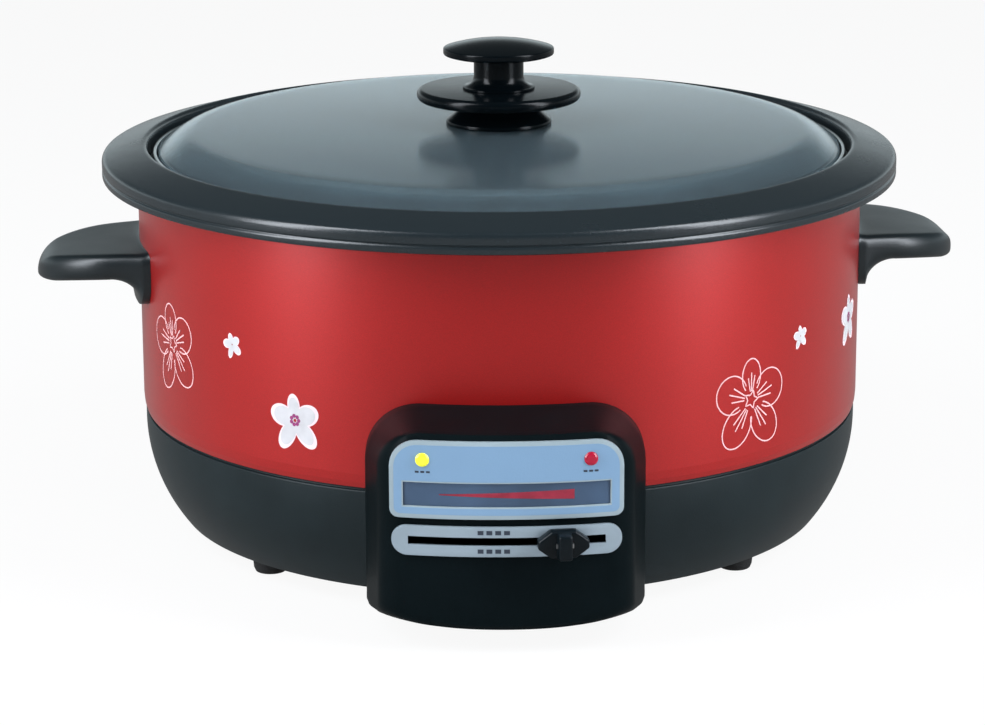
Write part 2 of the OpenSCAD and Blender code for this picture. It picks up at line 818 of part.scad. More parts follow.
module left_handle() { color([0.14, 0.15, 0.16]) rotate([0, 0, 180 + handle_turn]) handle_form(); }
module right_handle() { color([0.14, 0.15, 0.16]) rotate([0, 0, handle_turn]) handle_form(); }

// Puts a piece, which reaches along +Z from the axis, on the line of each screw of one handle
module handle_bolts() {
    for (s = [-1, 1]) translate([0, s * handle_screw_y, handle_screw_z]) rotate([0, 90, 0]) children();
}

// Clearance holes for the handle screws
module handle_screw_holes(r) {
    for (side = [0, 180]) rotate([0, 0, side + handle_turn])
        handle_bolts() translate([0, 0, liner_r]) cylinder(r = r, h = shell_r + cut - liner_r);
}

module handle_screws() {
    head_r = 3.2;
    head_h = 1.8;
    tip_room = 1;
    face = sqrt(pow(shell_in_r, 2) - pow(handle_screw_y + head_r, 2)) - run_fit;
    color("silver") for (side = [0, 180]) rotate([0, 0, side + handle_turn])
        handle_bolts() translate([0, 0, face]) {
            translate([0, 0, -head_h]) cylinder(r = head_r, h = head_h);
            cylinder(r = handle_bolt_r, h = handle_screw_len - tip_room);
        }
}

// Control box: an arch that tapers forwards from the shell, with rounded upright edges and a rounded chin
function box_mix(y, back, front) = back + (front - back) * max(0, y - shell_r) / box_reach;

module box_arch(y, inset, depth = 0.5) {
    hw = box_mix(y, box_back_hw, box_front_hw) - inset;
    top = box_mix(y, box_back_h, box_front_h) - inset;
    r = box_mix(y, box_back_corner, box_front_corner) - inset;
    right_corner = arc(hw - r, top - r, r, 0, 90);
    left_corner = arc(r - hw, top - r, r, 90, 180);
    frontal(y, y + depth) polygon(concat([[-hw, 0], [hw, 0]], right_corner, left_corner));
}

module box_plan(inset) {
    back_y = base_bottom_r - 10;
    front_y = front_r + 6;
    back_hw = box_back_hw - inset;
    front_hw = box_mix(front_y, box_back_hw, box_front_hw) - inset;
    r = box_edge_r - inset / 2;
    offset(r = r) offset(delta = -r) intersection() {
        circle(front_r - inset, $fn = 180);
        polygon([
            [back_hw, -back_y], [back_hw, -shell_r], [front_hw, -front_y],
            [-front_hw, -front_y], [-back_hw, -shell_r], [-back_hw, -back_y]
        ]);
    }
}

module chin_profile(inset) {
    spread = box_front_hw * 0.4;
    low = box_bottom + inset;
    steps = 8;
    polygon(concat(
        [[0, low]],
        [for (i = [0:steps]) let (a = 90 * i / steps)
            [chin_r - inset + spread * sin(a), low + chin_h * (1 - cos(a))]],
        [[chin_r - inset + spread, 2 * box_back_h], [0, 2 * box_back_h]]
    ));
}

module box_form(inset) {
    intersection() {
        union() {
            hull() {
                box_arch(shell_r, inset);
                box_arch(front_r + 4, inset);
            }
            box_arch(base_bottom_r - 6, inset, box_reach);
        }
        linear_extrude(2 * box_back_h) box_plan(inset);
        translate([0, -chin_y, 0]) rotate_extrude() chin_profile(inset);
    }
}

// Outer form of the pot that the box lies against
module pot_form(gap) {
    rotate_extrude($fn = 200) union() {
        base_profile(-gap);
        translate([0, seam_h]) square([max(shell_r, base_r) + gap, rim_h]);
    }
}

// Clearance holes for the screws of the control housing
module box_screw_holes(r) {
    frontal(spigot_r - housing_screw_len, shell_r + 8) housing_bolts() circle(r);
}

// Puts a flat shape at each screw of the control housing
module housing_bolts() {
    for (s = [-1, 1]) translate([s * housing_screw_x, housing_screw_z]) children();
}

module control_housing() {
    lamp_room = 0.8;
    slot_room = 2;
    color([0.12, 0.13, 0.14]) difference() {
        union() {
            difference() {
                box_form(0);
                box_form(box_wall);
            }
            intersection() {
                frontal(base_bottom_r, front_r) housing_bolts() circle(housing_boss_r);
                box_form(box_wall / 2);
            }
        }
        pot_form(box_gap);
        box_screw_holes(housing_bolt_r + fit);
        lamp_holes(lamp_room);
        frontal(face_in, face_out) translate([0, track_z])
            square([slot_w + 3 * slot_room, slot_h + slot_room], center = true);
    }
}

module housing_screws() {
    face = sqrt(pow(shell_in_r, 2) - pow(housing_screw_x + housing_head_r, 2)) - run_fit;
    head_h = 1.6;
    color("silver") {
        frontal(face - head_h, face) housing_bolts() circle(housing_head_r);
        frontal(face, face + housing_screw_len) housing_bolts() circle(housing_bolt_r);
    }
}

// Holes for the lamps, with some room round them
module lamp_holes(room) {
    for (s = [-1, 1]) frontal(face_in, face_out)
        translate([s * lamp_x, panel_z + lamp_lift]) circle(lamp_r + room);
}

// Control panel
module panel_plate() {
    color([0.55, 0.67, 0.77]) difference() {
        bent_plate(plate_r, plate_t) translate([0, panel_z])
            rounded_plate(panel_w, panel_h, panel_corner, panel_foot_corner);
        frontal(face_in, face_out) translate([-window_w / 2, panel_z + window_lift])
            square([window_w, window_h]);
        lamp_holes(fit);
    }
}

module scale_window() {
    color([0.25, 0.3, 0.36]) bent_plate(plate_r, plate_t * 0.6) translate([0, panel_z + window_lift])
        translate([-window_w / 2 + fit, fit]) square([window_w - 2 * fit, window_h - 2 * fit]);
}

module slide_track() {
    color([0.62, 0.66, 0.69]) difference() {
        bent_plate(plate_r, plate_t) translate([0, track_z]) stadium(track_w, track_h);
        frontal(face_in, face_out) translate([0, track_z]) square([slot_w, slot_h], center = true);
    }
}

// Neon lamp with its domed lens through the panel plate
module lamp(side) {
    face = sqrt(pow(track_r, 2) - pow(lamp_x, 2));
    depth = 14;
    collar = 0.4;
    lens_r = lamp_r * 1.4;
    lens_h = lamp_r * 0.5;
    translate([side * lamp_x, -face, panel_z + lamp_lift]) rotate([90, 0, 0]) {
        translate([0, 0, -depth]) cylinder(r = lamp_r, h = depth + collar);
        intersection() {
            translate([0, 0, lens_h - lens_r]) sphere(lens_r);
            translate([0, 0, collar - eps]) cylinder(r = lamp_r, h = lens_r);
        }
    }
}

module warm_lamp() { color([0.95, 0.85, 0.1]) lamp(-1); }
module heat_lamp() { color([0.85, 0.05, 0.12]) lamp(1); }

// Slider: knob, bent lever and shaft turn together about the pot's axis
module slider_outline() {
    end_h = slider_h * 0.14;
    slope = slider_w * 0.26;
    half_w = slider_w / 2;
    half_h = slider_h / 2;
    polygon([for (q = [[1, -1], [1, 1], [-1, 1], [-1, -1]])
        each q[0] * q[1] < 0 ? [[q[0] * (half_w - slope), q[1] * half_h], [q[0] * half_w, q[1] * end_h]]
                             : [[q[0] * half_w, q[1] * end_h], [q[0] * (half_w - slope), q[1] * half_h]]]);
}

module slider_knob() {
    ridge_w = slider_w * 0.26;
    base_t = slider_reach * 0.5;
    from = track_r + curve_gap;
    tip = track_r + slider_reach;
    back = from - 2;
    neck_room = 0.2;
    color([0.09, 0.1, 0.11]) at_front(rest_angle) difference() {
        union() {
            frontal(back, from + base_t) translate([0, track_z]) slider_outline();
            frontal(back, tip) translate([0, track_z]) square([ridge_w, slider_h], center = true);
        }
        cylinder(r = from, h = rim_h, $fn = 200);
        frontal(back - cut, lever_end_r + neck_room) translate([0, track_z])
            square([neck_w + 2 * fit, lever_t + 2 * fit], center = true);
    }
}

module slide_lever() {
    neck_z = track_z - lever_t / 2;
    shoulder = 6;
    color([0.7, 0.71, 0.72]) at_front(rest_angle) difference() {
        union() {
            translate([0, 0, hub_z]) cylinder(r = hub_r, h = hub_h);
            translate([-lever_w / 2, -lever_rise_r, 0]) {
                translate([0, 0, lever_z]) cube([lever_w, lever_rise_r, lever_t]);
                translate([0, 0, lever_z]) cube([lever_w, lever_t, neck_z + lever_t - lever_z]);
                translate([0, -shoulder, neck_z]) cube([lever_w, shoulder + lever_t, lever_t]);
            }
            translate([-neck_w / 2, -lever_end_r, neck_z])
                cube([neck_w, lever_end_r - lever_rise_r, lever_t]);
        }
        translate([0, 0, hub_z - cut]) cylinder(r = shaft_r + fit, h = hub_h + 2 * cut);
    }
}

module thermostat_shaft() {
    head_r = shaft_r + 1.2;
    head_h = 0.8;
    color([0.75, 0.7, 0.5]) {
        translate([0, 0, hub_z]) cylinder(r = shaft_r, h = thermostat_z + thermostat_h * 0.7 - hub_z);
        translate([0, 0, hub_z - head_h]) cylinder(r = head_r, h = head_h);
    }
}

module thermostat_body() {
    bush_r = shaft_r + 3;
    bore_h = thermostat_h * 0.75 + bush_h;
    tab = [5, 8, 2];
    tab_x = thermostat_r + 2;
    tab_lift = 3;
    color([0.9, 0.88, 0.82]) difference() {
        union() {
            translate([0, 0, thermostat_z]) cylinder(r = thermostat_r, h = thermostat_h);
            translate([0, 0, bush_z]) cylinder(r = bush_r, h = bush_h + eps);
            for (s = [-1, 1]) translate([s * tab_x, 0, thermostat_z + tab_lift]) cube(tab, center = true);
        }
        translate([0, 0, bush_z - cut]) cylinder(r = shaft_r + run_fit, h = bore_h + cut);
    }
}

module thermostat_bracket() {
    depth = 14;
    foot_w = 9;
    color("silver") difference() {
        union() {
            translate([-bracket_x, -depth / 2, bracket_z]) cube([2 * bracket_x, depth, bracket_t]);
            for (s = [-1, 1]) {
                translate([s * bracket_x - (s > 0 ? bracket_t : 0), -depth / 2, bracket_z])
                    cube([bracket_t, depth, heater_under - bracket_z]);
                foot_x = s > 0 ? bracket_x - bracket_t : -bracket_x - foot_w + bracket_t;
                translate([foot_x, -depth / 2, heater_under - bracket_t])
                    cube([foot_w, depth, bracket_t]);
            }
        }
        translate([0, 0, bracket_z - cut]) cylinder(r = wire_hole_r, h = bracket_t + 2 * cut);
    }
}

// Heater
module heater_plate() {
    step = 1;
    bore_r = guide_r + 1;
    color([0.7, 0.71, 0.72]) translate([0, 0, heater_under]) difference() {
        union() {
            cylinder(r = heater_r - step, h = heater_t);
            cylinder(r = heater_r, h = heater_t - step);
        }
        translate([0, 0, -cut]) cylinder(r = bore_r, h = heater_t + 2 * cut);
        rotate_extrude() translate([element_r, 0]) circle(element_tube_r + fit);
        for (a = spacer_angles) rotate([0, 0, a]) translate([spacer_circle_r, 0, -cut])
            cylinder(r = heater_bolt_r + fit, h = heater_t - cut);
    }
}

module heating_element() {
    sweep = 320;
    collar_r = element_tube_r + 1;
    collar_h = 12;
    pin_r = 1.5;
    pin_h = 7;
    color([0.35, 0.36, 0.38]) translate([0, 0, heater_under]) rotate([0, 0, 90 - sweep / 2 + 180]) {
        rotate_extrude(angle = sweep) translate([element_r, 0]) circle(element_tube_r);
        for (a = [0, sweep]) rotate([0, 0, a]) translate([element_r, 0, -collar_h]) {
            cylinder(r = collar_r, h = collar_h - fit);
            translate([0, 0, -pin_h]) cylinder(r = pin_r, h = pin_h + cut);
        }
    }
}

module heater_spacers() {
    spacer_r = 4.5;
    color("silver") for (a = spacer_angles) rotate([0, 0, a])
        translate([spacer_circle_r, 0, liner_floor]) difference() {
            cylinder(r = spacer_r, h = spacer_h);
            translate([0, 0, -cut]) cylinder(r = heater_bolt_r + fit, h = spacer_h + 2 * cut);
        }
}

module heater_screws() {
    head_h = 2.2;
    head_r = 3.6;
    head_bevel = 0.6;
    tip_room = 3;
    color("silver") for (a = spacer_angles) rotate([0, 0, a])
        translate([spacer_circle_r, 0, liner_floor - liner_t]) {
            translate([0, 0, -head_h]) cylinder(r1 = head_r - head_bevel, r2 = head_r, h = head_h);
            cylinder(r = heater_bolt_r, h = liner_t + spacer_h + heater_t - tip_room);
        }
}

// Sprung sensor in the middle of the plate
module sensor_can() {
    color("silver") translate([0, 0, plate_h - sensor_h]) difference() {
        cylinder(r = sensor_r, h = sensor_h);
        translate([0, 0, -cut]) cylinder(r = sensor_r - can_t, h = sensor_h - can_t + cut);
    }
}

module sensor_guide() {
    flange_w = 6;
    out_r = guide_r + guide_t;
    color([0.6, 0.61, 0.62]) difference() {
        union() {
            translate([0, 0, guide_floor]) cylinder(r = out_r, h = guide_h);
            translate([0, 0, heater_under - guide_t]) cylinder(r = out_r + flange_w, h = guide_t);
        }
        translate([0, 0, guide_floor + guide_t]) cylinder(r = guide_r, h = guide_h);
        translate([0, 0, guide_floor - cut]) cylinder(r = wire_hole_r, h = guide_h);
    }
}

// Coil of the sensor's spring: rings of a round wire along a helix
function coil_point(i, r, lift) = let (a = i * 360 / spring_steps)
    [r * cos(a), r * sin(a), spring_low + spring_pitch * i / spring_steps + lift];

module sensor_spring() {
    rings = spring_turns * spring_steps;
    last = spring_sides - 1;
    points = [for (i = [0:rings], j = [0:last]) let (b = j * 360 / spring_sides)
        coil_point(i, spring_r + spring_wire_r * cos(b), spring_wire_r * sin(b))];
    sides = [for (i = [0:rings - 1], j = [0:last]) let (k = (j + 1) % spring_sides, p = i * spring_sides)
        each [[p + j, p + k, p + spring_sides + k], [p + j, p + spring_sides + k, p + spring_sides + j]]];
    ends = [[for (j = [last:-1:0]) j], [for (j = [0:last]) rings * spring_sides + j]];
    gaps = [for (i = [0:rings - spring_steps])
        norm(coil_point(i + spring_steps, spring_r, 0) - coil_point(i, spring_r, 0)) - 2 * spring_wire_r];
    echo(spring_least_gap = min(gaps));
    color("silver") polyhedron(points, concat(sides, ends));
}

module thermal_fuse() {
    y = guide_r + guide_t + 12;
    r = 2.2;
    len = 14;
    wire_r = 0.6;
    wire_len = 26;
    color([0.85, 0.84, 0.8]) translate([0, y, heater_under - r - run_fit]) rotate([0, 90, 0]) {
        cylinder(r = r, h = len, center = true);
        cylinder(r = wire_r, h = wire_len, center = true);
    }
}

// Three flat pins, the middle one set off from the others, with some room round them
module inlet_pin_row(from, len, room) {
    for (x = [-pin_pitch, 0, pin_pitch]) translate([x, x == 0 ? pin_offset : -pin_offset, from])
        linear_extrude(len) square([pin_w + 2 * room, pin_t + 2 * room], center = true);
}

// Power inlet at the back
module power_inlet() {
    sleeve = [inlet_w + 2 * inlet_wall, inlet_h + 2 * inlet_wall];
    flange = [sleeve[0] + 2 * inlet_flange, sleeve[1] + 2 * inlet_flange];
    back = inlet_depth + inlet_back_t;
    color([0.08, 0.08, 0.09]) translate([0, inlet_y, inlet_z]) rotate([-90, 0, 0]) difference() {
        union() {
            translate([0, 0, -back]) linear_extrude(back + eps) square(sleeve, center = true);
            linear_extrude(inlet_flange_t) square(flange, center = true);
        }
        translate([0, 0, -inlet_depth]) linear_extrude(inlet_depth + inlet_flange_t + cut)
            square([inlet_w, inlet_h], center = true);
        inlet_pin_row(-back - cut, inlet_back_t + 2 * cut, fit);
    }
}

module inlet_pins() {
    color("gold") translate([0, inlet_y, inlet_z]) rotate([-90, 0, 0])
        inlet_pin_row(-inlet_depth - pin_tail, inlet_depth + pin_tail - pin_tip_room, 0);
}

lid_glass();
lid_band();
lid_knob();
knob_guard();
knob_seat();
knob_screw();
knob_washer();
knob_gasket();
steam_vent();
cooking_pan();
outer_shell();
inner_liner();
base_bowl();
bottom_cover();
cover_screws();
feet();
left_handle();
right_handle();
handle_screws();
control_housing();
housing_screws();
panel_plate();
scale_window();
slide_track();
warm_lamp();
heat_lamp();
slider_knob();
slide_lever();
thermostat_shaft();
thermostat_body();
thermostat_bracket();
heater_plate();
heating_element();
heater_spacers();
heater_screws();
sensor_can();
sensor_spring();
sensor_guide();
thermal_fuse();
power_inlet();
inlet_pins();
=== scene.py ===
"""Looks of the multicooker: pan, glass lid, painted shell, moulded base, handles and slide control."""

import logging
import math
from collections.abc import Callable, Sequence
from dataclasses import dataclass, field
from enum import Enum

import bmesh
import bpy
import numpy as np
from mathutils import Matrix, Vector


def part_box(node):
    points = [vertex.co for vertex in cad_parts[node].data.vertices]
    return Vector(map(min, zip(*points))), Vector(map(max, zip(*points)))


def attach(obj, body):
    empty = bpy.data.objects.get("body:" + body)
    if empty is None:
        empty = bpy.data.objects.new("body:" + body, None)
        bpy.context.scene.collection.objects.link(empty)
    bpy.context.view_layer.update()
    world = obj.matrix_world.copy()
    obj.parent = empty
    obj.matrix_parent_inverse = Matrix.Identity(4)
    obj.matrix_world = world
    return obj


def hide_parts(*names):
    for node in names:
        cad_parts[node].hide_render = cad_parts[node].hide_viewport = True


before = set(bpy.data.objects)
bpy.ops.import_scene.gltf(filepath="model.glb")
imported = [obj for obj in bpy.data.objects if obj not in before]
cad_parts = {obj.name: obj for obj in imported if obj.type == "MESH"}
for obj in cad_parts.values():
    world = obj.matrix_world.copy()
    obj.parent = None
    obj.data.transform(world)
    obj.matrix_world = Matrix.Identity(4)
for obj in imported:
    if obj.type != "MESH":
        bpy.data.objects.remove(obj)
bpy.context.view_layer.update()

MM = 0.001
SMOOTH_ANGLE = math.radians(32)
FINE = 256  # steps round the larger turned pieces
log = logging.getLogger("multicooker")

Point = tuple[float, float]
Corner = tuple[float, float, float]
Color = tuple[float, float, float]
Strip = tuple[float, float, float]
Mesh = bpy.types.Mesh
Node = bpy.types.Node
Object = bpy.types.Object
Socket = bpy.types.NodeSocket
Setup = Callable[[Object], None]


class Body(str, Enum):
    """Bodies that the pieces ride on."""

    HOUSING = "housing"
    PAN = "pan"
    LID = "lid"
    SLIDER = "slider"
    SENSOR = "sensor"


class Lay(Enum):
    """How the fine lines of a worked metal run."""

    ROUND = "round the pot's axis"
    ALONG = "along one edge"
    NONE = "no lines"


@dataclass(frozen=True)
class Extent:
    """Box of a CAD node at rest."""

    low: Vector
    high: Vector

    @classmethod
    def of(cls, node: str) -> "Extent":
        """Box of the named node."""
        return cls(*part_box(node))

    @property
    def radius(self) -> float:
        """Radius of a node that is round about the pot's axis."""
        return self.high.x

    @property
    def turned(self) -> tuple[float, float, float]:
        """Foot, top and radius of a node that is round about the pot's axis."""
        return self.low.z, self.high.z, self.radius

    @property
    def front(self) -> float:
        """Distance of the node's foremost point from the pot's axis."""
        return -self.low.y

    @property
    def middle(self) -> Vector:
        """Centre of the box."""
        return (self.low + self.high) / 2


# Outlines and meshes


def arc(centre: Point, radius: float, start: float, end: float, steps: int = 12) -> list[Point]:
    """Points along an arc.

    Args:
        centre: centre of the arc.
        radius: radius of the arc.
        start: first angle in degrees.
        end: last angle in degrees.
        steps: number of chords.

    Returns:
        The points in order.
    """
    angles = [math.radians(start + (end - start) * i / steps) for i in range(steps + 1)]
    return [(centre[0] + radius * math.cos(a), centre[1] + radius * math.sin(a)) for a in angles]


def fillet(corners: Sequence[Corner], closed: bool = True, steps: int = 6) -> list[Point]:
    """Rounds the corners of an outline.

    Args:
        corners: each corner's place and the radius of its rounding.
        closed: whether the last corner joins the first.
        steps: number of chords in a rounding.

    Returns:
        The points of the rounded outline.
    """
    points: list[Point] = []
    count = len(corners)
    for i, (x, y, radius) in enumerate(corners):
        here = Vector((x, y))
        if radius <= 0 or (not closed and i in (0, count - 1)):
            points.append((x, y))
            continue
        to_last = Vector(corners[i - 1][:2]) - here
        to_next = Vector(corners[(i + 1) % count][:2]) - here
        half = to_last.angle(to_next) / 2
        reach = min(radius / math.tan(half), 0.49 * to_last.length, 0.49 * to_next.length)
        start, end = here + to_last.normalized() * reach, here + to_next.normalized() * reach
        for j in range(steps + 1):
            t = j / steps
            bend = start * (1 - t) ** 2 + here * 2 * t * (1 - t) + end * t**2
            points.append((bend.x, bend.y))
    return points


def settle(bm: bmesh.types.BMesh, name: str, recalculate: bool = True) -> Mesh:
    """Turns a bmesh into a smooth-shaded mesh with sharp edges where faces meet at an angle.

    Args:
        bm: the bmesh, which is freed.
        name: name of the mesh.
        recalculate: whether the faces are turned outwards first.

    Returns:
        The mesh.
    """
    bmesh.ops.remove_doubles(bm, verts=bm.verts, dist=1e-7)
    bmesh.ops.dissolve_degenerate(bm, edges=bm.edges, dist=1e-8)
    if recalculate:
        bmesh.ops.recalc_face_normals(bm, faces=bm.faces)
    mesh = bpy.data.meshes.new(name)
    bm.to_mesh(mesh)
    bm.free()
    shade(mesh)
    return mesh


def shade(mesh: Mesh) -> None:
    """Shades a mesh smooth, apart from its sharp edges."""
    mesh.polygons.foreach_set("use_smooth", [True] * len(mesh.polygons))
    mesh.set_sharp_from_angle(angle=SMOOTH_ANGLE)
    mesh.update()


def sweep_rows(name: str, rows: Sequence[Sequence[Vector]], round_row: bool, ends: bool = False) -> Mesh:
    """Skins rows of points with quads.

    Args:
        name: name of the mesh.
        rows: rows of equally many points.
        round_row: whether each row closes on itself.
        ends: whether the first and the last row are capped.

    Returns:
        The mesh.
    """
    bm = bmesh.new()
    grid = [[bm.verts.new(p) for p in row] for row in rows]
    width = len(grid[0])
    for lower, upper in zip(grid, grid[1:]):
        for j in range(width if round_row else width - 1):
            k = (j + 1) % width
            bm.faces.new((lower[j], lower[k], upper[k], upper[j]))
    if ends:
        bm.faces.new(grid[0])
        bm.faces.new(grid[-1])
    return settle(bm, name)


def revolve(name: str, outline: Sequence[Point], closed: bool = True, segments: int = 192) -> Mesh:
    """Turns an outline about the pot's axis.

    Args:
        name: name of the mesh.
        outline: distance from the axis and height of each point.
        closed: whether the outline is a ring that keeps off the axis.
        segments: number of steps round the axis.

    Returns:
        The mesh, a closed solid.
    """
    loop = list(outline) + ([outline[0]] if closed else [])
    turns = [2 * math.pi * i / segments for i in range(segments)]
    rows = [[Vector((r * math.sin(a), -r * math.cos(a), z)) for a in turns] for r, z in loop]
    return sweep_rows(name, rows, round_row=True)


def moved(mesh: Mesh, matrix: Matrix) -> Mesh:
    """The same mesh after a move."""
    mesh.transform(matrix)
    return mesh


def last_held(test: Callable[[np.ndarray], np.ndarray], near: np.ndarray, far: np.ndarray,
              steps: int = 40) -> np.ndarray:
    """Largest values between two limits for which a test holds, found by halving.

    Args:
        test: the test, which holds at the near limits and fails at the far ones.
        near: the near limits.
        far: the far limits.
        steps: number of halvings.

    Returns:
        The values.
    """
    for _ in range(steps):
        middle = (near + far) / 2
        held = test(middle)
        near, far = np.where(held, middle, near), np.where(held, far, middle)
    return near


def joined(name: str, meshes: Sequence[Mesh]) -> Mesh:
    """One mesh of several closed ones."""
    bm = bmesh.new()
    for mesh in meshes:
        bm.from_mesh(mesh)
    return settle(bm, name, recalculate=False)


def with_modifiers(mesh: Mesh, *setups: Setup) -> Mesh:
    """Runs modifiers on a mesh and keeps their result.

    Args:
        mesh: the mesh to start from.
        setups: functions that each add one modifier to an object.

    Returns:
        The new mesh.
    """
    holder = bpy.data.objects.new("holder", mesh)
    bpy.context.scene.collection.objects.link(holder)
    for setup in setups:
        setup(holder)
    graph = bpy.context.evaluated_depsgraph_get()
    result = bpy.data.meshes.new_from_object(holder.evaluated_get(graph))
    bpy.data.objects.remove(holder)
    shade(result)
    return result


def bevel(width: float, segments: int = 3, angle: float = 40) -> Setup:
    """A rounding of the sharp edges."""

    def setup(holder: Object) -> None:
        modifier = holder.modifiers.new("edge", "BEVEL")
        modifier.width = width
        modifier.segments = segments
        modifier.limit_method = "ANGLE"
        modifier.angle_limit = math.radians(angle)

    return setup


def combined(mesh: Mesh, other: Mesh, operation: str = "DIFFERENCE") -> Mesh:
    """A mesh cut by another one, or joined to it.

    Args:
        mesh: the mesh to change.
        other: the cutter or the addition.
        operation: DIFFERENCE or UNION.

    Returns:
        The new mesh.
    """
    tool = bpy.data.objects.new("tool", other)
    bpy.context.scene.collection.objects.link(tool)

    def setup(holder: Object) -> None:
        modifier = holder.modifiers.new("combine", "BOOLEAN")
        modifier.operation = operation
        modifier.solver = "EXACT"
        modifier.object = tool

    result = with_modifiers(mesh, setup)
    bpy.data.objects.remove(tool)
    return result


def block(name: str, low: Sequence[float], high: Sequence[float]) -> Mesh:
    """A box between two corners."""
    bm = bmesh.new()
    bmesh.ops.create_cube(bm, size=1.0)
    size = Vector(high) - Vector(low)
    bmesh.ops.scale(bm, vec=size, verts=bm.verts)
    bmesh.ops.translate(bm, vec=(Vector(high) + Vector(low)) / 2, verts=bm.verts)
    return settle(bm, name)


def piece(name: str, mesh: Mesh, body: Body, slot: str, finish: "Finish", *nodes: str) -> None:
    """Puts a mesh into the scene as a piece of the cooker.

    Args:
        name: name of the piece.
        mesh: its mesh, in place.
        body: the body that it rides on.
        slot: name of a material slot; not used.
        finish: what its surface is made of.
        nodes: CAD nodes that it stands for.
    """
    made = bpy.data.objects.new(name, mesh)
    bpy.context.scene.collection.objects.link(made)
    mesh.materials.clear()
    mesh.materials.append(finish.material())
    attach(made, body.value)
    if nodes:
        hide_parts(*nodes)
    log.info("%s: %d faces on %s", name, len(mesh.polygons), body.value)


# Node trees


class Graph:
    """Writes a node tree, node by node."""

    def __init__(self, tree: bpy.types.NodeTree) -> None:
        """Starts on an empty or existing tree."""
        self.tree = tree

    def add(self, kind: str, sockets: dict | None = None, **settings: object) -> Node:
        """Adds a node.

        Args:
            kind: the node's type.
            sockets: values or sockets for its inputs, by name or number.
            settings: the node's own properties.

        Returns:
            The node.
        """
        node = self.tree.nodes.new(kind)
        for key, value in settings.items():
            setattr(node, key, value)
        for key, value in (sockets or {}).items():
            if isinstance(value, Socket):
                self.tree.links.new(value, node.inputs[key])
            else:
                node.inputs[key].default_value = value
        return node

    def put(self, kind: str, sockets: dict | None = None, **settings: object) -> Socket:
        """First output of a node that is added in the same way."""
        return self.add(kind, sockets, **settings).outputs[0]

    def feed(self, node: Node, key: str | int, source: Socket) -> None:
        """Joins a socket to an input of a node."""
        self.tree.links.new(source, node.inputs[key])

    def math(self, operation: str, first: object, second: object = 0.0) -> Socket:
        """Result of a sum, product or other operation on two numbers."""
        return self.put("ShaderNodeMath", {0: first, 1: second}, operation=operation)

    def vector(self, x: object = 0.0, y: object = 0.0, z: object = 0.0) -> Socket:
        """Vector of three numbers."""
        return self.put("ShaderNodeCombineXYZ", {0: x, 1: y, 2: z})

    def parts(self, vector: Socket) -> Sequence[Socket]:
        """The three numbers of a vector."""
        return self.add("ShaderNodeSeparateXYZ", {0: vector}).outputs

    def spread(self, share: Socket, low: float, high: float) -> Socket:
        """A share between nought and one, spread between two numbers."""
        return self.put("ShaderNodeMapRange", {"Value": share, "To Min": low, "To Max": high})

    def ramp(self, share: Socket, first: tuple[float, Color], last: tuple[float, Color]) -> Socket:
        """Colour that runs between two stops, each a share and its colour."""
        made = self.add("ShaderNodeValToRGB", {"Fac": share})
        ends = made.color_ramp.elements
        for end, (place, color) in ((ends[0], first), (ends[1], last)):
            end.position = place
            end.color = (*color, 1)
        return made.outputs["Color"]


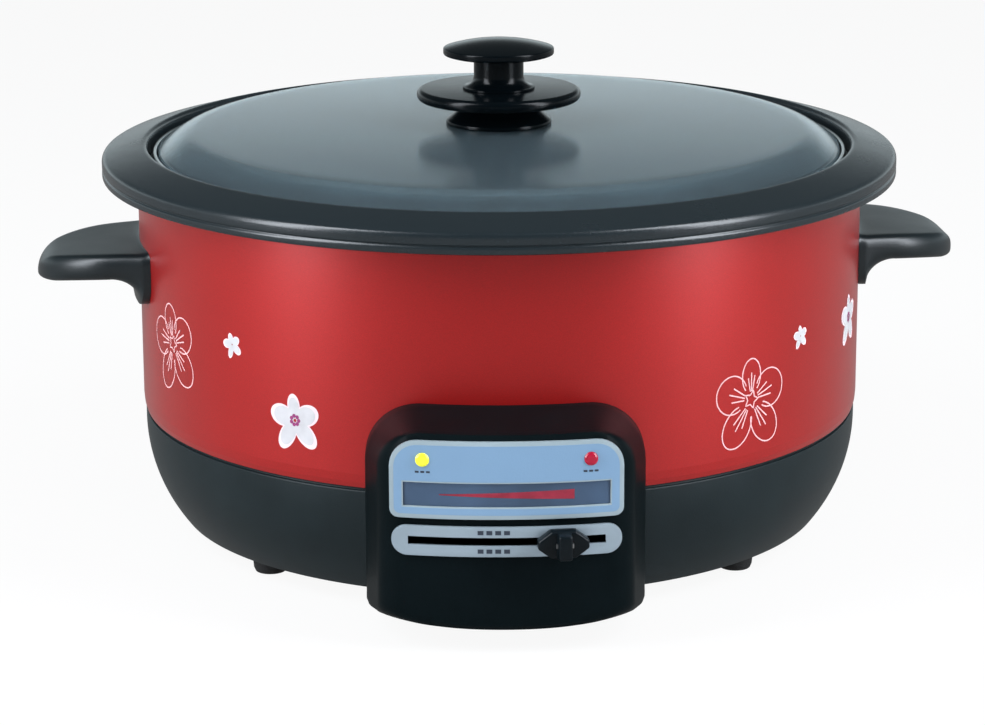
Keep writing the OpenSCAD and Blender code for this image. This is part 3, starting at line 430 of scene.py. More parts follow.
class ShapeTree(Graph):
    """A Geometry Nodes tree with named inputs for its sizes."""

    def __init__(self, name: str, **sizes: float) -> None:
        """Makes the tree and its inputs.

        Args:
            name: name of the tree.
            sizes: default of each input.
        """
        group = bpy.data.node_groups.new(name, "GeometryNodeTree")
        super().__init__(group)
        group.interface.new_socket("Geometry", in_out="INPUT", socket_type="NodeSocketGeometry")
        self.identifiers: dict[str, str] = {}
        self.sizes = sizes
        for key, value in sizes.items():
            socket = group.interface.new_socket(key, in_out="INPUT", socket_type="NodeSocketFloat")
            socket.default_value = value
            self.identifiers[key] = socket.identifier
        group.interface.new_socket("Geometry", in_out="OUTPUT", socket_type="NodeSocketGeometry")
        self.source = group.nodes.new("NodeGroupInput")

    def size(self, key: str) -> Socket:
        """Socket of a named input."""
        return self.source.outputs[key]

    @property
    def points(self) -> Socket:
        """The geometry that the tree is put on."""
        return self.source.outputs["Geometry"]

    def placed(self, shape: Socket, **move: object) -> Socket:
        """A shape after a move, given by the inputs of the node that makes it."""
        return self.put("GeometryNodeTransform", {"Geometry": shape, **move})

    def repeated(self, points: Socket, shape: Socket, **more: object) -> Socket:
        """Copies of a shape on points, as plain geometry."""
        copies = self.put("GeometryNodeInstanceOnPoints", {"Points": points, "Instance": shape, **more})
        return self.put("GeometryNodeRealizeInstances", {"Geometry": copies})

    def ring(self, count: int, step: float = 0.0) -> tuple[Socket, Socket]:
        """Points in a row, each a step above the last, and the turn of each in an even ring."""
        row = self.put("GeometryNodeMeshLine", {"Count": count, "Offset": (0, 0, step)})
        return row, self.math("MULTIPLY", self.put("GeometryNodeInputIndex"), 2 * math.pi / count)

    def join(self, *shapes: Socket) -> Socket:
        """Several shapes as one."""
        whole = self.add("GeometryNodeJoinGeometry")
        for shape in shapes:
            self.feed(whole, 0, shape)
        return whole.outputs[0]

    def cut(self, shape: Socket, tool: Socket) -> Socket:
        """A shape with another one cut out of it."""
        return self.put("GeometryNodeMeshBoolean", {"Mesh 1": shape, "Mesh 2": tool}, operation="DIFFERENCE")

    def grow(self, shape: Socket, finish: "Finish", base: Mesh | None = None) -> Mesh:
        """Ends the tree, runs it and returns a plain mesh.

        Args:
            shape: the geometry to keep.
            finish: its material.
            base: mesh whose points the tree reads.

        Returns:
            The mesh.
        """
        real = self.put("GeometryNodeRealizeInstances", {"Geometry": shape})
        dressed = self.put("GeometryNodeSetMaterial", {"Geometry": real, "Material": finish.material()})
        self.add("NodeGroupOutput", {"Geometry": dressed})

        def setup(holder: Object) -> None:
            modifier = holder.modifiers.new("shape", "NODES")
            modifier.node_group = self.tree
            for key, value in self.sizes.items():
                modifier[self.identifiers[key]] = value
            holder.update_tag()

        return with_modifiers(base or bpy.data.meshes.new("seed"), setup)


def cloud(points: Sequence[Sequence[float]]) -> Mesh:
    """A mesh of loose points."""
    mesh = bpy.data.meshes.new("points")
    mesh.from_pydata([tuple(p) for p in points], [], [])
    return mesh


# Finishes


@dataclass(frozen=True)
class Finish:
    """A surface's colour and gloss, with a fine unevenness."""

    name: str
    color: Color
    roughness: float = 0.4
    metallic: float = 0.0
    coat: float = 0.0
    coat_roughness: float = 0.06
    specular: float = 0.5
    uneven: float = 0.12
    uneven_size: float = 0.02
    grain: float = 0.0006
    grain_depth: float = 0.08

    def material(self) -> bpy.types.Material:
        """The material of this finish, made on first use."""
        label = f"{self.name}_finish"
        found = bpy.data.materials.get(label)
        if found:
            return found
        made = bpy.data.materials.new(label)
        made.use_nodes = True
        values = {"Metallic": self.metallic, "Roughness": self.roughness, "Coat Weight": self.coat,
                  "Coat Roughness": self.coat_roughness, "Specular IOR Level": self.specular,
                  "Base Color": (*self.color, 1)}
        shader = made.node_tree.nodes["Principled BSDF"]
        for key, value in values.items():
            shader.inputs[key].default_value = value
        graph = Graph(made.node_tree)
        self.work(graph, shader, graph.add("ShaderNodeTexCoord").outputs["Object"])
        return made

    def work(self, graph: Graph, shader: Node, coords: Socket) -> None:
        """Adds the unevenness of colour and gloss, and the grain.

        Args:
            graph: the material's nodes.
            shader: its Principled shader.
            coords: object coordinates.
        """
        drift = self.noise(graph, coords, self.uneven_size, 3)
        self.shift_color(graph, shader, drift)
        self.shift_gloss(graph, shader, drift)
        self.dent(graph, shader, self.noise(graph, coords, self.grain, 2), self.grain_depth, self.grain)

    @staticmethod
    def noise(graph: Graph, coords: Socket, size: float, detail: float) -> Socket:
        """Noise with features of about the given size."""
        return graph.put("ShaderNodeTexNoise", {"Vector": coords, "Scale": 1 / size, "Detail": detail})

    def tone(self, gain: float) -> Color:
        """The finish's colour made lighter or darker."""
        red, green, blue = (min(1.0, c * gain) for c in self.color)
        return red, green, blue

    def shift_color(self, graph: Graph, shader: Node, drift: Socket) -> None:
        """Lets the colour drift a little round its value."""
        ends = (0.3, self.tone(1 - self.uneven)), (0.7, self.tone(1 + self.uneven))
        graph.feed(shader, "Base Color", graph.ramp(drift, *ends))

    def shift_gloss(self, graph: Graph, shader: Node, drift: Socket, part: float = 0.15) -> None:
        """Lets the roughness drift by a part of its value."""
        low, high = self.roughness * (1 - part), min(1.0, self.roughness * (1 + part))
        graph.feed(shader, "Roughness", graph.spread(drift, low, high))

    @staticmethod
    def dent(graph: Graph, shader: Node, height: Socket, strength: float, depth: float) -> None:
        """Adds a relief to the surface."""
        bump = graph.put("ShaderNodeBump", {"Height": height, "Strength": strength, "Distance": depth})
        graph.feed(shader, "Normal", bump)


@dataclass(frozen=True)
class FlakePaint(Finish):
    """Baked metallic paint: bright flakes under a clear coat."""

    flake: float = 0.00014
    flake_gain: float = 0.15

    def work(self, graph: Graph, shader: Node, coords: Socket) -> None:
        """Adds flakes that differ in colour and tilt, as the base class says."""
        cells = graph.add("ShaderNodeTexVoronoi", {"Vector": coords, "Scale": 1 / self.flake})
        tone = graph.put("ShaderNodeSeparateColor", {"Color": cells.outputs["Color"]})
        ends = (0.0, self.tone(1 - self.flake_gain)), (1.0, self.tone(1 + self.flake_gain))
        graph.feed(shader, "Base Color", graph.ramp(tone, *ends))
        self.shift_gloss(graph, shader, self.noise(graph, coords, self.uneven_size, 2))
        self.dent(graph, shader, tone, self.grain_depth, self.flake / 10)


@dataclass(frozen=True)
class SpeckledCoat(Finish):
    """Sprayed non-stick coating with fine pale specks."""

    speck: float = 0.0012
    speck_color: Color = (0.030, 0.036, 0.040)
    speck_core: float = 0.06
    speck_rim: float = 0.16

    def work(self, graph: Graph, shader: Node, coords: Socket) -> None:
        """Adds the specks and an orange-peel relief, as the base class says."""
        cells = graph.add("ShaderNodeTexVoronoi", {"Vector": coords, "Scale": 1 / self.speck})
        ends = (self.speck_core, self.speck_color), (self.speck_rim, self.color)
        graph.feed(shader, "Base Color", graph.ramp(cells.outputs["Distance"], *ends))
        self.shift_gloss(graph, shader, self.noise(graph, coords, self.uneven_size, 3))
        self.dent(graph, shader, self.noise(graph, coords, self.grain, 2), self.grain_depth, self.grain)


@dataclass(frozen=True)
class WorkedMetal(Finish):
    """Metal with the fine lines of turning, rolling or brushing."""

    metallic: float = 1.0
    lay: Lay = Lay.ROUND
    line: float = 0.0004

    def work(self, graph: Graph, shader: Node, coords: Socket) -> None:
        """Adds lines along the lay, as the base class says."""
        x, y, z = graph.parts(coords)
        if self.lay is Lay.ROUND:
            away = graph.add("ShaderNodeVectorMath", {0: graph.vector(x, y)}, operation="LENGTH")
            place = graph.vector(away.outputs["Value"], z=z)
        elif self.lay is Lay.ALONG:
            place = graph.vector(y=y, z=z)
        else:
            place = coords
        lines = self.noise(graph, place, self.line, 3)
        self.shift_color(graph, shader, self.noise(graph, coords, self.uneven_size, 3))
        self.shift_gloss(graph, shader, lines)
        self.dent(graph, shader, lines, self.grain_depth, self.line / 4)


@dataclass(frozen=True)
class ClearGlass(Finish):
    """Polished toughened glass with a faint haze."""

    ior: float = 1.5
    clear: float = 0.93

    def work(self, graph: Graph, shader: Node, coords: Socket) -> None:
        """Sets the shader to glass and adds a haze to its gloss."""
        shader.inputs["Transmission Weight"].default_value = self.clear
        shader.inputs["IOR"].default_value = self.ior
        haze = self.noise(graph, coords, self.uneven_size, 4)
        self.shift_gloss(graph, shader, haze, 0.05)


@dataclass(frozen=True)
class LampLens(Finish):
    """Coloured lens over a lit neon lamp."""

    glow: float = 0.6
    shade: float = 0.7

    def work(self, graph: Graph, shader: Node, coords: Socket) -> None:
        """Adds a glow that is cloudy like a moulded lens."""
        shader.inputs["Emission Color"].default_value = (*self.color, 1)
        cloudy = self.noise(graph, coords, self.uneven_size, 2)
        graph.feed(shader, "Emission Strength", graph.spread(cloudy, self.glow * self.shade, self.glow))
        self.shift_color(graph, shader, cloudy)


RED_PAINT = FlakePaint("red_paint", (0.46, 0.008, 0.007), roughness=0.42, metallic=0.5, coat=1.0,
                       coat_roughness=0.32, specular=0.1, grain_depth=0.03)
BASE_PLASTIC = Finish("base_plastic", (0.010, 0.017, 0.019), roughness=0.40, specular=0.24)
HANDLE_PLASTIC = Finish("handle_plastic", (0.005, 0.010, 0.012), roughness=0.36, specular=0.62)
BOX_PLASTIC = Finish("box_plastic", (0.003, 0.006, 0.007), roughness=0.36, specular=0.035)
KNOB_PLASTIC = Finish("knob_plastic", (0.0015, 0.003, 0.004), roughness=0.20, specular=0.16, grain_depth=0.03)
SLIDER_PLASTIC = Finish("slider_plastic", (0.003, 0.006, 0.008), roughness=0.30, specular=0.25)
INLET_PLASTIC = Finish("inlet_plastic", (0.012, 0.012, 0.013), roughness=0.5)
PAN_COAT = SpeckledCoat("pan_coat", (0.012, 0.018, 0.021), roughness=0.26, specular=0.62)
LID_GLASS = ClearGlass("lid_glass_clear", (0.52, 0.68, 0.75), roughness=0.17, uneven_size=0.03)
BAND_STEEL = WorkedMetal("band_steel", (0.70, 0.72, 0.73), roughness=0.22, grain_depth=0.1)
LINER_STEEL = WorkedMetal("liner_steel", (0.52, 0.53, 0.54), roughness=0.38, lay=Lay.NONE, line=0.003)
SCREW_STEEL = WorkedMetal("screw_steel", (0.45, 0.46, 0.47), roughness=0.32, lay=Lay.NONE)
LEVER_STEEL = WorkedMetal("lever_steel", (0.50, 0.51, 0.52), roughness=0.34, lay=Lay.ALONG)
HEATER_ALLOY = WorkedMetal("heater_alloy", (0.60, 0.61, 0.62), roughness=0.34, grain_depth=0.2, line=0.0008)
SENSOR_STEEL = WorkedMetal("sensor_steel", (0.66, 0.67, 0.68), roughness=0.24)
SHEATH = WorkedMetal("element_sheath", (0.12, 0.12, 0.125), roughness=0.5, lay=Lay.NONE)
BRASS = WorkedMetal("turned_brass", (0.60, 0.44, 0.18), roughness=0.28)
CERAMIC = Finish("thermostat_ceramic", (0.72, 0.69, 0.61), roughness=0.6, grain_depth=0.2)
RUBBER = Finish("foot_rubber", (0.012, 0.012, 0.012), roughness=0.75, grain_depth=0.25)
SILICONE = Finish("gasket_silicone", (0.55, 0.56, 0.55), roughness=0.55)
FASCIA_GREY = Finish("fascia_grey", (0.30, 0.37, 0.40), roughness=0.3, uneven=0.05)
FASCIA_BLUE = Finish("fascia_blue", (0.19, 0.315, 0.46), roughness=0.34, uneven=0.012)
WINDOW_SMOKE = Finish("window_smoke", (0.046, 0.080, 0.135), roughness=0.14, coat=0.4, uneven=0.2)
TRACK_SILVER = Finish("track_silver", (0.30, 0.365, 0.41), roughness=0.34, metallic=0.2, uneven=0.06)
WHITE_INK = Finish("white_ink", (0.60, 0.585, 0.595), uneven=0.06, uneven_size=0.004)
BLUSH_INK = Finish("blush_ink", (0.88, 0.68, 0.70), uneven=0.05, uneven_size=0.004)
PINK_INK = Finish("pink_ink", (0.86, 0.48, 0.48), uneven=0.1, uneven_size=0.004)
MAGENTA_INK = Finish("magenta_ink", (0.30, 0.03, 0.16), uneven=0.15, uneven_size=0.002)
DARK_INK = Finish("dark_ink", (0.030, 0.040, 0.060))
HEAT_INK = Finish("heat_ink", (0.29, 0.018, 0.040), roughness=0.3, uneven=0.2, uneven_size=0.004)
YELLOW_LENS = LampLens("yellow_lens", (0.84, 0.80, 0.04), roughness=0.2, uneven_size=0.001, glow=0.25)
RED_LENS = LampLens("red_lens", (0.38, 0.008, 0.030), roughness=0.2, uneven_size=0.001, glow=0.05)


# Sub-assemblies


@dataclass
class Lid:
    """Glass lid with its steel band, a dark ring that paints the shadow gap at the glass's edge, knob, guard
    disc, seat, steam vent and screw stack.
    """

    glass_t: float = 3.0 * MM
    glass_r: float = 128.8 * MM
    shoulder_r: float = 119.5 * MM
    shoulder: float = 31.0 * MM
    shoulder_w: float = 11.0 * MM
    dome_drop: float = 1.7 * MM
    edge_lift: float = 1.0 * MM
    edge_h: float = 3.2 * MM
    # how far the top of the painted shadow-gap ring sits below the band's top
    shadow_gap_drop: float = 1.9 * MM
    screw_hole_r: float = 3.0 * MM
    ring_bore: float = 2.1 * MM
    band_w: float = 3.5 * MM
    bead: float = 1.4 * MM
    band_t: float = 0.6 * MM
    stem_r: float = 9.4 * MM
    flare_r: float = 13.6 * MM
    cap_edge: float = 2.6 * MM
    cap_bevel: float = 0.8 * MM
    stem_h: float = 12.0 * MM
    root_h: float = 0.8 * MM
    guard_round: float = 0.46
    seat_taper: float = 6.0 * MM
    seat_edge: float = 1.4 * MM
    vent_wall: float = 0.6 * MM
    vent_lip: float = 1.4 * MM

    def build(self) -> None:
        """Makes every piece of the lid."""
        self.glass()
        self.band()
        # the next call makes the dark ring that paints the shadow gap at the glass's edge
        self.shadow_gap_ring()
        self.knob()
        self.guard()
        self.seat()
        self.vent()
        self.screw_stack()

    def dome(self, r: float) -> float:
        """Height of the upper face of the glass at a distance from the axis."""
        return Extent.of("lid_glass").high.z - self.dome_drop * (r / self.shoulder_r) ** 2

    def glass(self) -> None:
        """Nearly flat glass with a rounded shoulder, a hole for the knob's screw and one for the vent."""
        low, t, r = Extent.of("lid_band").low.z + self.edge_lift, self.glass_t, self.glass_r
        steps = 40
        inner, outer = self.screw_hole_r, self.shoulder_r - self.shoulder_w
        radii = [inner + (outer - inner) * i / steps for i in range(steps + 1)]
        above = [(radius, self.dome(radius)) for radius in radii]
        below = [(radius, self.dome(radius) - t) for radius in reversed(radii)]
        knee, foot = self.dome(self.shoulder_r), low + self.edge_h
        shoulder = fillet([
            above[-1] + (0,), (self.shoulder_r, knee, self.shoulder), (r - 0.3 * MM, foot + 1 * MM, 1.2 * MM),
            (r, foot, 0.6 * MM), (r, low, 0.5 * MM), (r - t, low, 0.5 * MM),
            (r - t - 0.2 * MM, foot - 1 * MM, 1 * MM),
            (self.shoulder_r - 1.0 * MM, knee - t, self.shoulder - t), below[0] + (0,),
        ], closed=False)
        vent = Extent.of("steam_vent")
        hole_r = (vent.high.x - self.vent_lip) + 0.2 * MM
        top = self.dome(0) + 2 * MM
        outline = [(0, low), (hole_r, low), (hole_r, top), (0, top)]
        hole = moved(revolve("vent_hole", outline, closed=False, segments=32),
                     Matrix.Translation((0, vent.middle.y, 0)))
        mesh = combined(revolve("glass", above + shoulder[1:-1] + below, segments=FINE), hole)
        piece("glass_dome", mesh, Body.LID, "lid_glass", LID_GLASS, "lid_glass")

    def band(self) -> None:
        """Rolled steel band that holds the edge of the glass."""
        low, high, r = Extent.of("lid_band").turned
        inner, bead, t = r - self.band_w, r - self.bead, self.band_t
        roll = 0.28 * MM
        corners = [
            (r, low, 1.0 * MM), (r, high, 0.6 * MM), (bead, high, 0.5 * MM), (bead, high - 1.2 * MM, roll),
            (r - t, high - 1.8 * MM, 0.4 * MM), (r - t, low + t, 0.4 * MM), (inner, low + t, roll),
            (inner, low, roll),
        ]
        mesh = revolve("band", fillet(corners), segments=FINE)
        piece("lid_rim_band", mesh, Body.LID, "band_steel", BAND_STEEL, "lid_band")

    def shadow_gap_ring(self) -> None:
        """Dark rubber-coloured ring between the band and the edge of the glass: painted shade for the shadow
        gap there, not a real seal.
        """
        foot, top, r = Extent.of("lid_band").turned
        room, edge = 0.05 * MM, 0.2 * MM
        inner, outer = self.glass_r + room, r - self.band_t - room
        low, high = foot + self.edge_lift, top - self.shadow_gap_drop
        corners = [(inner, low, edge), (outer, low, edge), (outer, high, edge), (inner, high, edge)]
        mesh = revolve("shadow_gap_ring", fillet(corners, steps=3), segments=FINE)
        # painted shade: a dark ring stands where the band only throws a shadow gap onto the glass's edge
        piece("lid_edge_seal", mesh, Body.LID, "foot_rubber", RUBBER)

    def knob(self) -> None:
        """Turned knob with a crowned cap, a stem and a flared foot."""
        low, high, cap_r = Extent.of("lid_knob").turned
        cap_low = low + self.stem_h
        edge_low = cap_low + self.cap_bevel
        edge_high = edge_low + self.cap_edge
        crown_h = high - edge_high
        crown_r = (cap_r**2 + crown_h**2) / (2 * crown_h)

        def crown(share: float) -> Point:
            """Point of the crown at a share of the cap's radius."""
            r = cap_r * share
            return r, high - crown_r + math.sqrt(crown_r**2 - r**2)

        flare, root = self.flare_r - self.stem_r, low + self.root_h
        foot = fillet([
            (0, low, 0), (self.flare_r, low, 0.2 * MM), (self.flare_r, root, 0.2 * MM),
        ], closed=False)
        sweep = arc((self.flare_r, root + flare), flare, 264, 186, 12)
        cap = fillet([
            (self.stem_r, root + flare, 0), (self.stem_r, cap_low, 0.8 * MM),
            (cap_r - 1.6 * MM, edge_low - 0.2 * MM, 0.8 * MM), (cap_r, edge_low + 0.3 * MM, 0.7 * MM),
            (cap_r, edge_high, 0.6 * MM), crown(0.9) + (0,),
        ], closed=False)
        rest = [crown(share) for share in (0.8, 0.65, 0.5, 0.35, 0.2, 0.1, 0)]
        mesh = revolve("knob", foot + sweep + cap + rest, closed=False)
        piece("knob", mesh, Body.LID, "knob_plastic", KNOB_PLASTIC, "lid_knob")

    def guard(self) -> None:
        """Disc that keeps fingers off the glass."""
        low, high, r = Extent.of("knob_guard").turned
        edge = self.guard_round * (high - low)
        foot = arc((r - edge, low + edge), edge, -90, 0, 10)
        top = arc((r - edge, high - edge), edge, 0, 90, 10)
        mesh = revolve("guard", [(0, low)] + foot + top + [(0, high)], closed=False)
        piece("guard_disc", mesh, Body.LID, "knob_plastic", KNOB_PLASTIC, "knob_guard")

    def seat(self) -> None:
        """Flared seat between the guard disc and the glass."""
        low, high, r = Extent.of("knob_seat").turned
        edge = self.seat_edge
        flank = [(r - self.seat_taper * math.sin(math.radians(a)), low + edge + (high - low - edge) * a / 90)
                 for a in range(0, 91, 6)]
        corners = [(r - 2 * MM, low, 0), (r, low, 0.5 * MM), flank[0] + (0.5 * MM,), flank[1] + (0,)]
        outline = [(0, low)] + fillet(corners, closed=False) + flank[2:] + [(0, high)]
        mesh = revolve("seat", outline, closed=False)
        piece("knob_flare", mesh, Body.LID, "knob_plastic", KNOB_PLASTIC, "knob_seat")

    def vent(self) -> None:
        """Steel eyelet that lets steam out."""
        box = Extent.of("steam_vent")
        low, high, outer, t = box.low.z, box.high.z, box.high.x, self.vent_wall
        hole = outer - self.vent_lip - 2 * t + 0.2 * MM
        tube, foot = hole + t, outer - 0.6 * MM
        corners = [
            (hole, low, 0.2 * MM), (foot, low, 0.25 * MM), (foot, low + t, 0.2 * MM),
            (tube, low + t, 0.1 * MM), (tube, high - t, 0.1 * MM), (outer, high - t, 0.2 * MM),
            (outer, high, 0.3 * MM), (hole, high, 0.5 * MM),
        ]
        lift = self.dome(box.middle.y) - (high - t) + 0.05 * MM
        place = Matrix.Translation((0, box.middle.y, lift))
        mesh = moved(revolve("vent", fillet(corners), segments=48), place)
        piece("vent_eyelet", mesh, Body.LID, "band_steel", BAND_STEEL, "steam_vent")

    def screw_stack(self) -> None:
        """Screw, washer and gasket under the glass."""
        for node, finish, slot, edge in (
            ("knob_gasket", SILICONE, "silicone", 0.4 * MM),
            ("knob_washer", SCREW_STEEL, "fastener_steel", 0.25 * MM),
        ):
            low, high, r = Extent.of(node).turned
            bore = self.ring_bore
            corners = [(bore, low, 0), (r, low, edge), (r, high, edge), (bore, high, 0)]
            piece(f"{node}_ring", revolve(node, fillet(corners), segments=64), Body.LID, slot, finish, node)
        dress("knob_screw", SCREW_STEEL)


@dataclass
class Pan:
    """Removable pan with a ledge for the lid and a wide falling rim."""

    wall_t: float = 2.2 * MM
    seat_r: float = 132.8 * MM
    ledge_w: float = 6.0 * MM
    draft: float = 8.0 * MM
    corner_r: float = 16.0 * MM
    crest_lift: float = 4.8 * MM
    crest_r: float = 2.2 * MM
    rim_drop: float = 4.8 * MM
    bend_r: float = 6.2 * MM
    skirt_h: float = 7.6 * MM
    crease: float = 0.6 * MM
    crease_at: float = 0.6
    skirt_t: float = 1.8 * MM

    def build(self) -> None:
        """Makes the pan as one turned sheet."""
        box = Extent.of("cooking_pan")
        mesh = revolve("pan", self.outline(box), closed=False, segments=FINE)
        piece("pan", mesh, Body.PAN, "pan_coating", PAN_COAT, "cooking_pan")

    def outline(self, box: Extent) -> list[Point]:
        """Outline from the middle of the floor, over the rim and back under the floor.

        Args:
            box: the pan's box.

        Returns:
            The outline, which starts and ends on the axis.
        """
        t = self.wall_t
        ledge = Extent.of("lid_band").low.z
        mouth = self.seat_r - self.ledge_w
        floor = box.low.z + t
        turn = mouth - self.draft - self.corner_r
        lean = math.degrees(math.atan(self.draft / (ledge - floor - self.corner_r)))
        centre = (turn, floor + self.corner_r)
        crest = box.high.z + self.crest_lift
        lip = crest - self.rim_drop
        rim_r, back_r = box.radius, box.radius - self.skirt_t
        skirt, fold = lip - self.skirt_h, lip - self.crease_at * self.skirt_h
        inside = [(0, floor), (turn / 2, floor)] + arc(centre, self.corner_r, -90, -lean, 16)
        over = fillet([
            (mouth - 0.4 * MM, ledge - 3 * MM, 0), (mouth, ledge, 0.8 * MM), (self.seat_r, ledge, 0.5 * MM),
            (self.seat_r, crest, self.crest_r), (rim_r, lip, self.bend_r),
            (rim_r, fold + 0.6 * MM, 0.4 * MM), (rim_r - self.crease, fold, 0.3 * MM),
            (rim_r, fold - 0.8 * MM, 1.0 * MM), (rim_r, skirt, 0.9 * MM), (back_r, skirt, 0.7 * MM),
            (back_r, lip - 2.2 * MM, 2.6 * MM),
            (self.seat_r + t + 1 * MM, crest - 1.6 * t, 1.2 * MM), (self.seat_r + t, ledge - t, 0.5 * MM),
            (mouth + t, ledge - t, 0.8 * MM), (mouth + t - 0.4 * MM, ledge - t - 3 * MM, 0),
        ], closed=False)
        outside = arc(centre, self.corner_r + t, -90, -lean, 16)[::-1]
        return inside + over + outside + [(turn / 2, box.low.z), (0, box.low.z)]


@dataclass
class Blossom:
    """Place and make-up of one printed five-petal blossom."""

    name: str
    angle: float
    height: float
    reach: float
    turn: float
    outlined: bool


@dataclass
class Shell:
    """Painted sheet-metal shell, its prints, and the liner inside it."""

    sheet_t: float = 0.9 * MM
    tuck: float = 0.8 * MM
    tuck_h: float = 5.0 * MM
    overlap: float = 2.4 * MM
    lip: float = 3.0 * MM
    liner_t: float = 0.8 * MM
    liner_gap: float = 19.0 * MM
    liner_mouth: float = 66.0 * MM
    liner_knee: float = 4.0 * MM
    full_slim: float = 0.88
    inside_share: float = 0.86
    heart_from: float = 8.0 * MM
    heart_dots: int = 7
    ink_lift: float = 0.05 * MM
    petals: int = 5
    petal_long: float = 0.98
    long_swing: float = 0.14
    petal_wide: float = 0.25
    wide_swing: float = 0.15
    line_w: float = 0.5 * MM
    blossoms: list[Blossom] = field(default_factory=lambda: [
        Blossom("left_outline", -61.4, 85.0 * MM, 17.5 * MM, 12, True),
        Blossom("left_small", -44.8, 92.8 * MM, 4.9 * MM, 20, False),
        Blossom("left_full", -32.6, 69.8 * MM, 11.4 * MM, 6, False),
        Blossom("right_outline", 40.0, 73.2 * MM, 18.0 * MM, 0, True),
        Blossom("right_small", 51.5, 91.4 * MM, 4.6 * MM, 8, False),
        Blossom("right_full", 70.3, 88.4 * MM, 10.4 * MM, 2, False),
    ])

    def build(self) -> None:
        """Makes the shell, the liner and the prints."""
        self.shell()
        self.liner()
        for blossom in self.blossoms:
            if blossom.outlined:
                self.line_print(blossom)
            else:
                self.full_print(blossom)

    def shell(self) -> None:
        """Straight drum with a turned-in foot and a rolled upper edge."""
        foot, high, r = Extent.of("outer_shell").turned
        low, t, lip = foot - self.overlap, self.sheet_t, self.lip
        bend, tuck = low + self.tuck_h * 0.4, self.tuck * 0.3
        corners = [
            (r - self.tuck, low, 0), (r - tuck, bend, 1 * MM), (r, low + self.tuck_h, 2 * MM),
            (r, high, 0.8 * MM), (r - lip, high, 0), (r - lip, high - t, 0), (r - t, high - t, 0.3 * MM),
            (r - t, low + self.tuck_h, 2 * MM), (r - t - tuck, bend, 1 * MM), (r - t - self.tuck, low, 0),
        ]
        mesh = revolve("shell", fillet(corners), segments=FINE)
        piece("shell_drum", mesh, Body.HOUSING, "shell_paint", RED_PAINT, "outer_shell")

    def liner(self) -> None:
        """Liner bowl that the shell hangs from and the pan stands in."""
        low, high, flange_r = Extent.of("inner_liner").turned
        t, mouth, knee, slant = self.liner_t, self.liner_mouth, self.liner_knee, 0.33 * MM
        wall = Extent.of("cooking_pan").radius - self.liner_gap
        corners = [
            (mouth, low, 0), (wall - knee + slant, low, 1.5 * MM),
            (wall + t, low + t + knee - slant, 1.5 * MM),
            (wall + t, high - t, 0.4 * MM), (flange_r, high - t, 0), (flange_r, high, 0.3 * MM),
            (wall, high, 1.0 * MM), (wall, low + t + knee, 1.5 * MM), (wall - knee, low + t, 1.5 * MM),
            (mouth, low + t, 0),
        ]
        mesh = revolve("liner", fillet(corners))
        piece("liner_bowl", mesh, Body.HOUSING, "liner_steel", LINER_STEEL, "inner_liner")

    def onto_drum(self, tree: ShapeTree, flat: Socket) -> Socket:
        """Wraps a flat print, x across and y up, round the drum.

        Args:
            tree: the tree that makes the print.
            flat: the print's geometry.

        Returns:
            The wrapped geometry.
        """
        across, up, out = tree.parts(tree.put("GeometryNodeInputPosition"))
        swing = tree.math("ADD", tree.size("Angle"), tree.math("DIVIDE", across, tree.size("Drum")))
        reach = tree.math("ADD", tree.size("Drum"), out)
        x = tree.math("MULTIPLY", reach, tree.math("SINE", swing))
        y = tree.math("MULTIPLY", reach, tree.math("MULTIPLY", tree.math("COSINE", swing), -1.0))
        wrapped = tree.vector(x, y, tree.math("ADD", tree.size("Height"), up))
        return tree.put("GeometryNodeSetPosition", {"Geometry": flat, "Position": wrapped})

    def petal_ring(self, tree: ShapeTree, petal: Socket, share: float = 1.0, slim: float = 1.0) -> Socket:
        """Sets a petal round the heart: the upper one slim, the side ones round, the lower ones long.

        Args:
            tree: the tree that makes the print.
            petal: the petal, one high and two wide, with its foot at the heart.
            share: size of the petals against their full size.
            slim: width of the petals against that of the drawn ones.

        Returns:
            The petals, as plain geometry.
        """
        row, even = tree.ring(self.petals, 0.006 * MM)
        turn = tree.math("ADD", even, tree.size("Turn"))
        side = tree.math("ABSOLUTE", tree.math("SINE", turn))
        fall = tree.math("MULTIPLY", tree.math("COSINE", turn), self.long_swing)
        length = tree.math("SUBTRACT", self.petal_long, fall)
        width = tree.math("ADD", self.petal_wide, tree.math("MULTIPLY", side, self.wide_swing))
        width = tree.math("MULTIPLY", width, slim)
        reach = tree.math("MULTIPLY", tree.size("Reach"), share)
        size = tree.vector(tree.math("MULTIPLY", width, reach), tree.math("MULTIPLY", length, reach), 1.0)
        return tree.repeated(row, petal, Rotation=tree.vector(z=turn), Scale=size)

    def tree_for(self, blossom: Blossom, label: str) -> ShapeTree:
        """A tree with the inputs that place a blossom on the drum."""
        return ShapeTree(f"{label}_{blossom.name}", Angle=math.radians(blossom.angle), Height=blossom.height,
                         Drum=Extent.of("outer_shell").radius + self.ink_lift, Reach=blossom.reach,
                         Turn=math.radians(blossom.turn), Line=self.line_w)

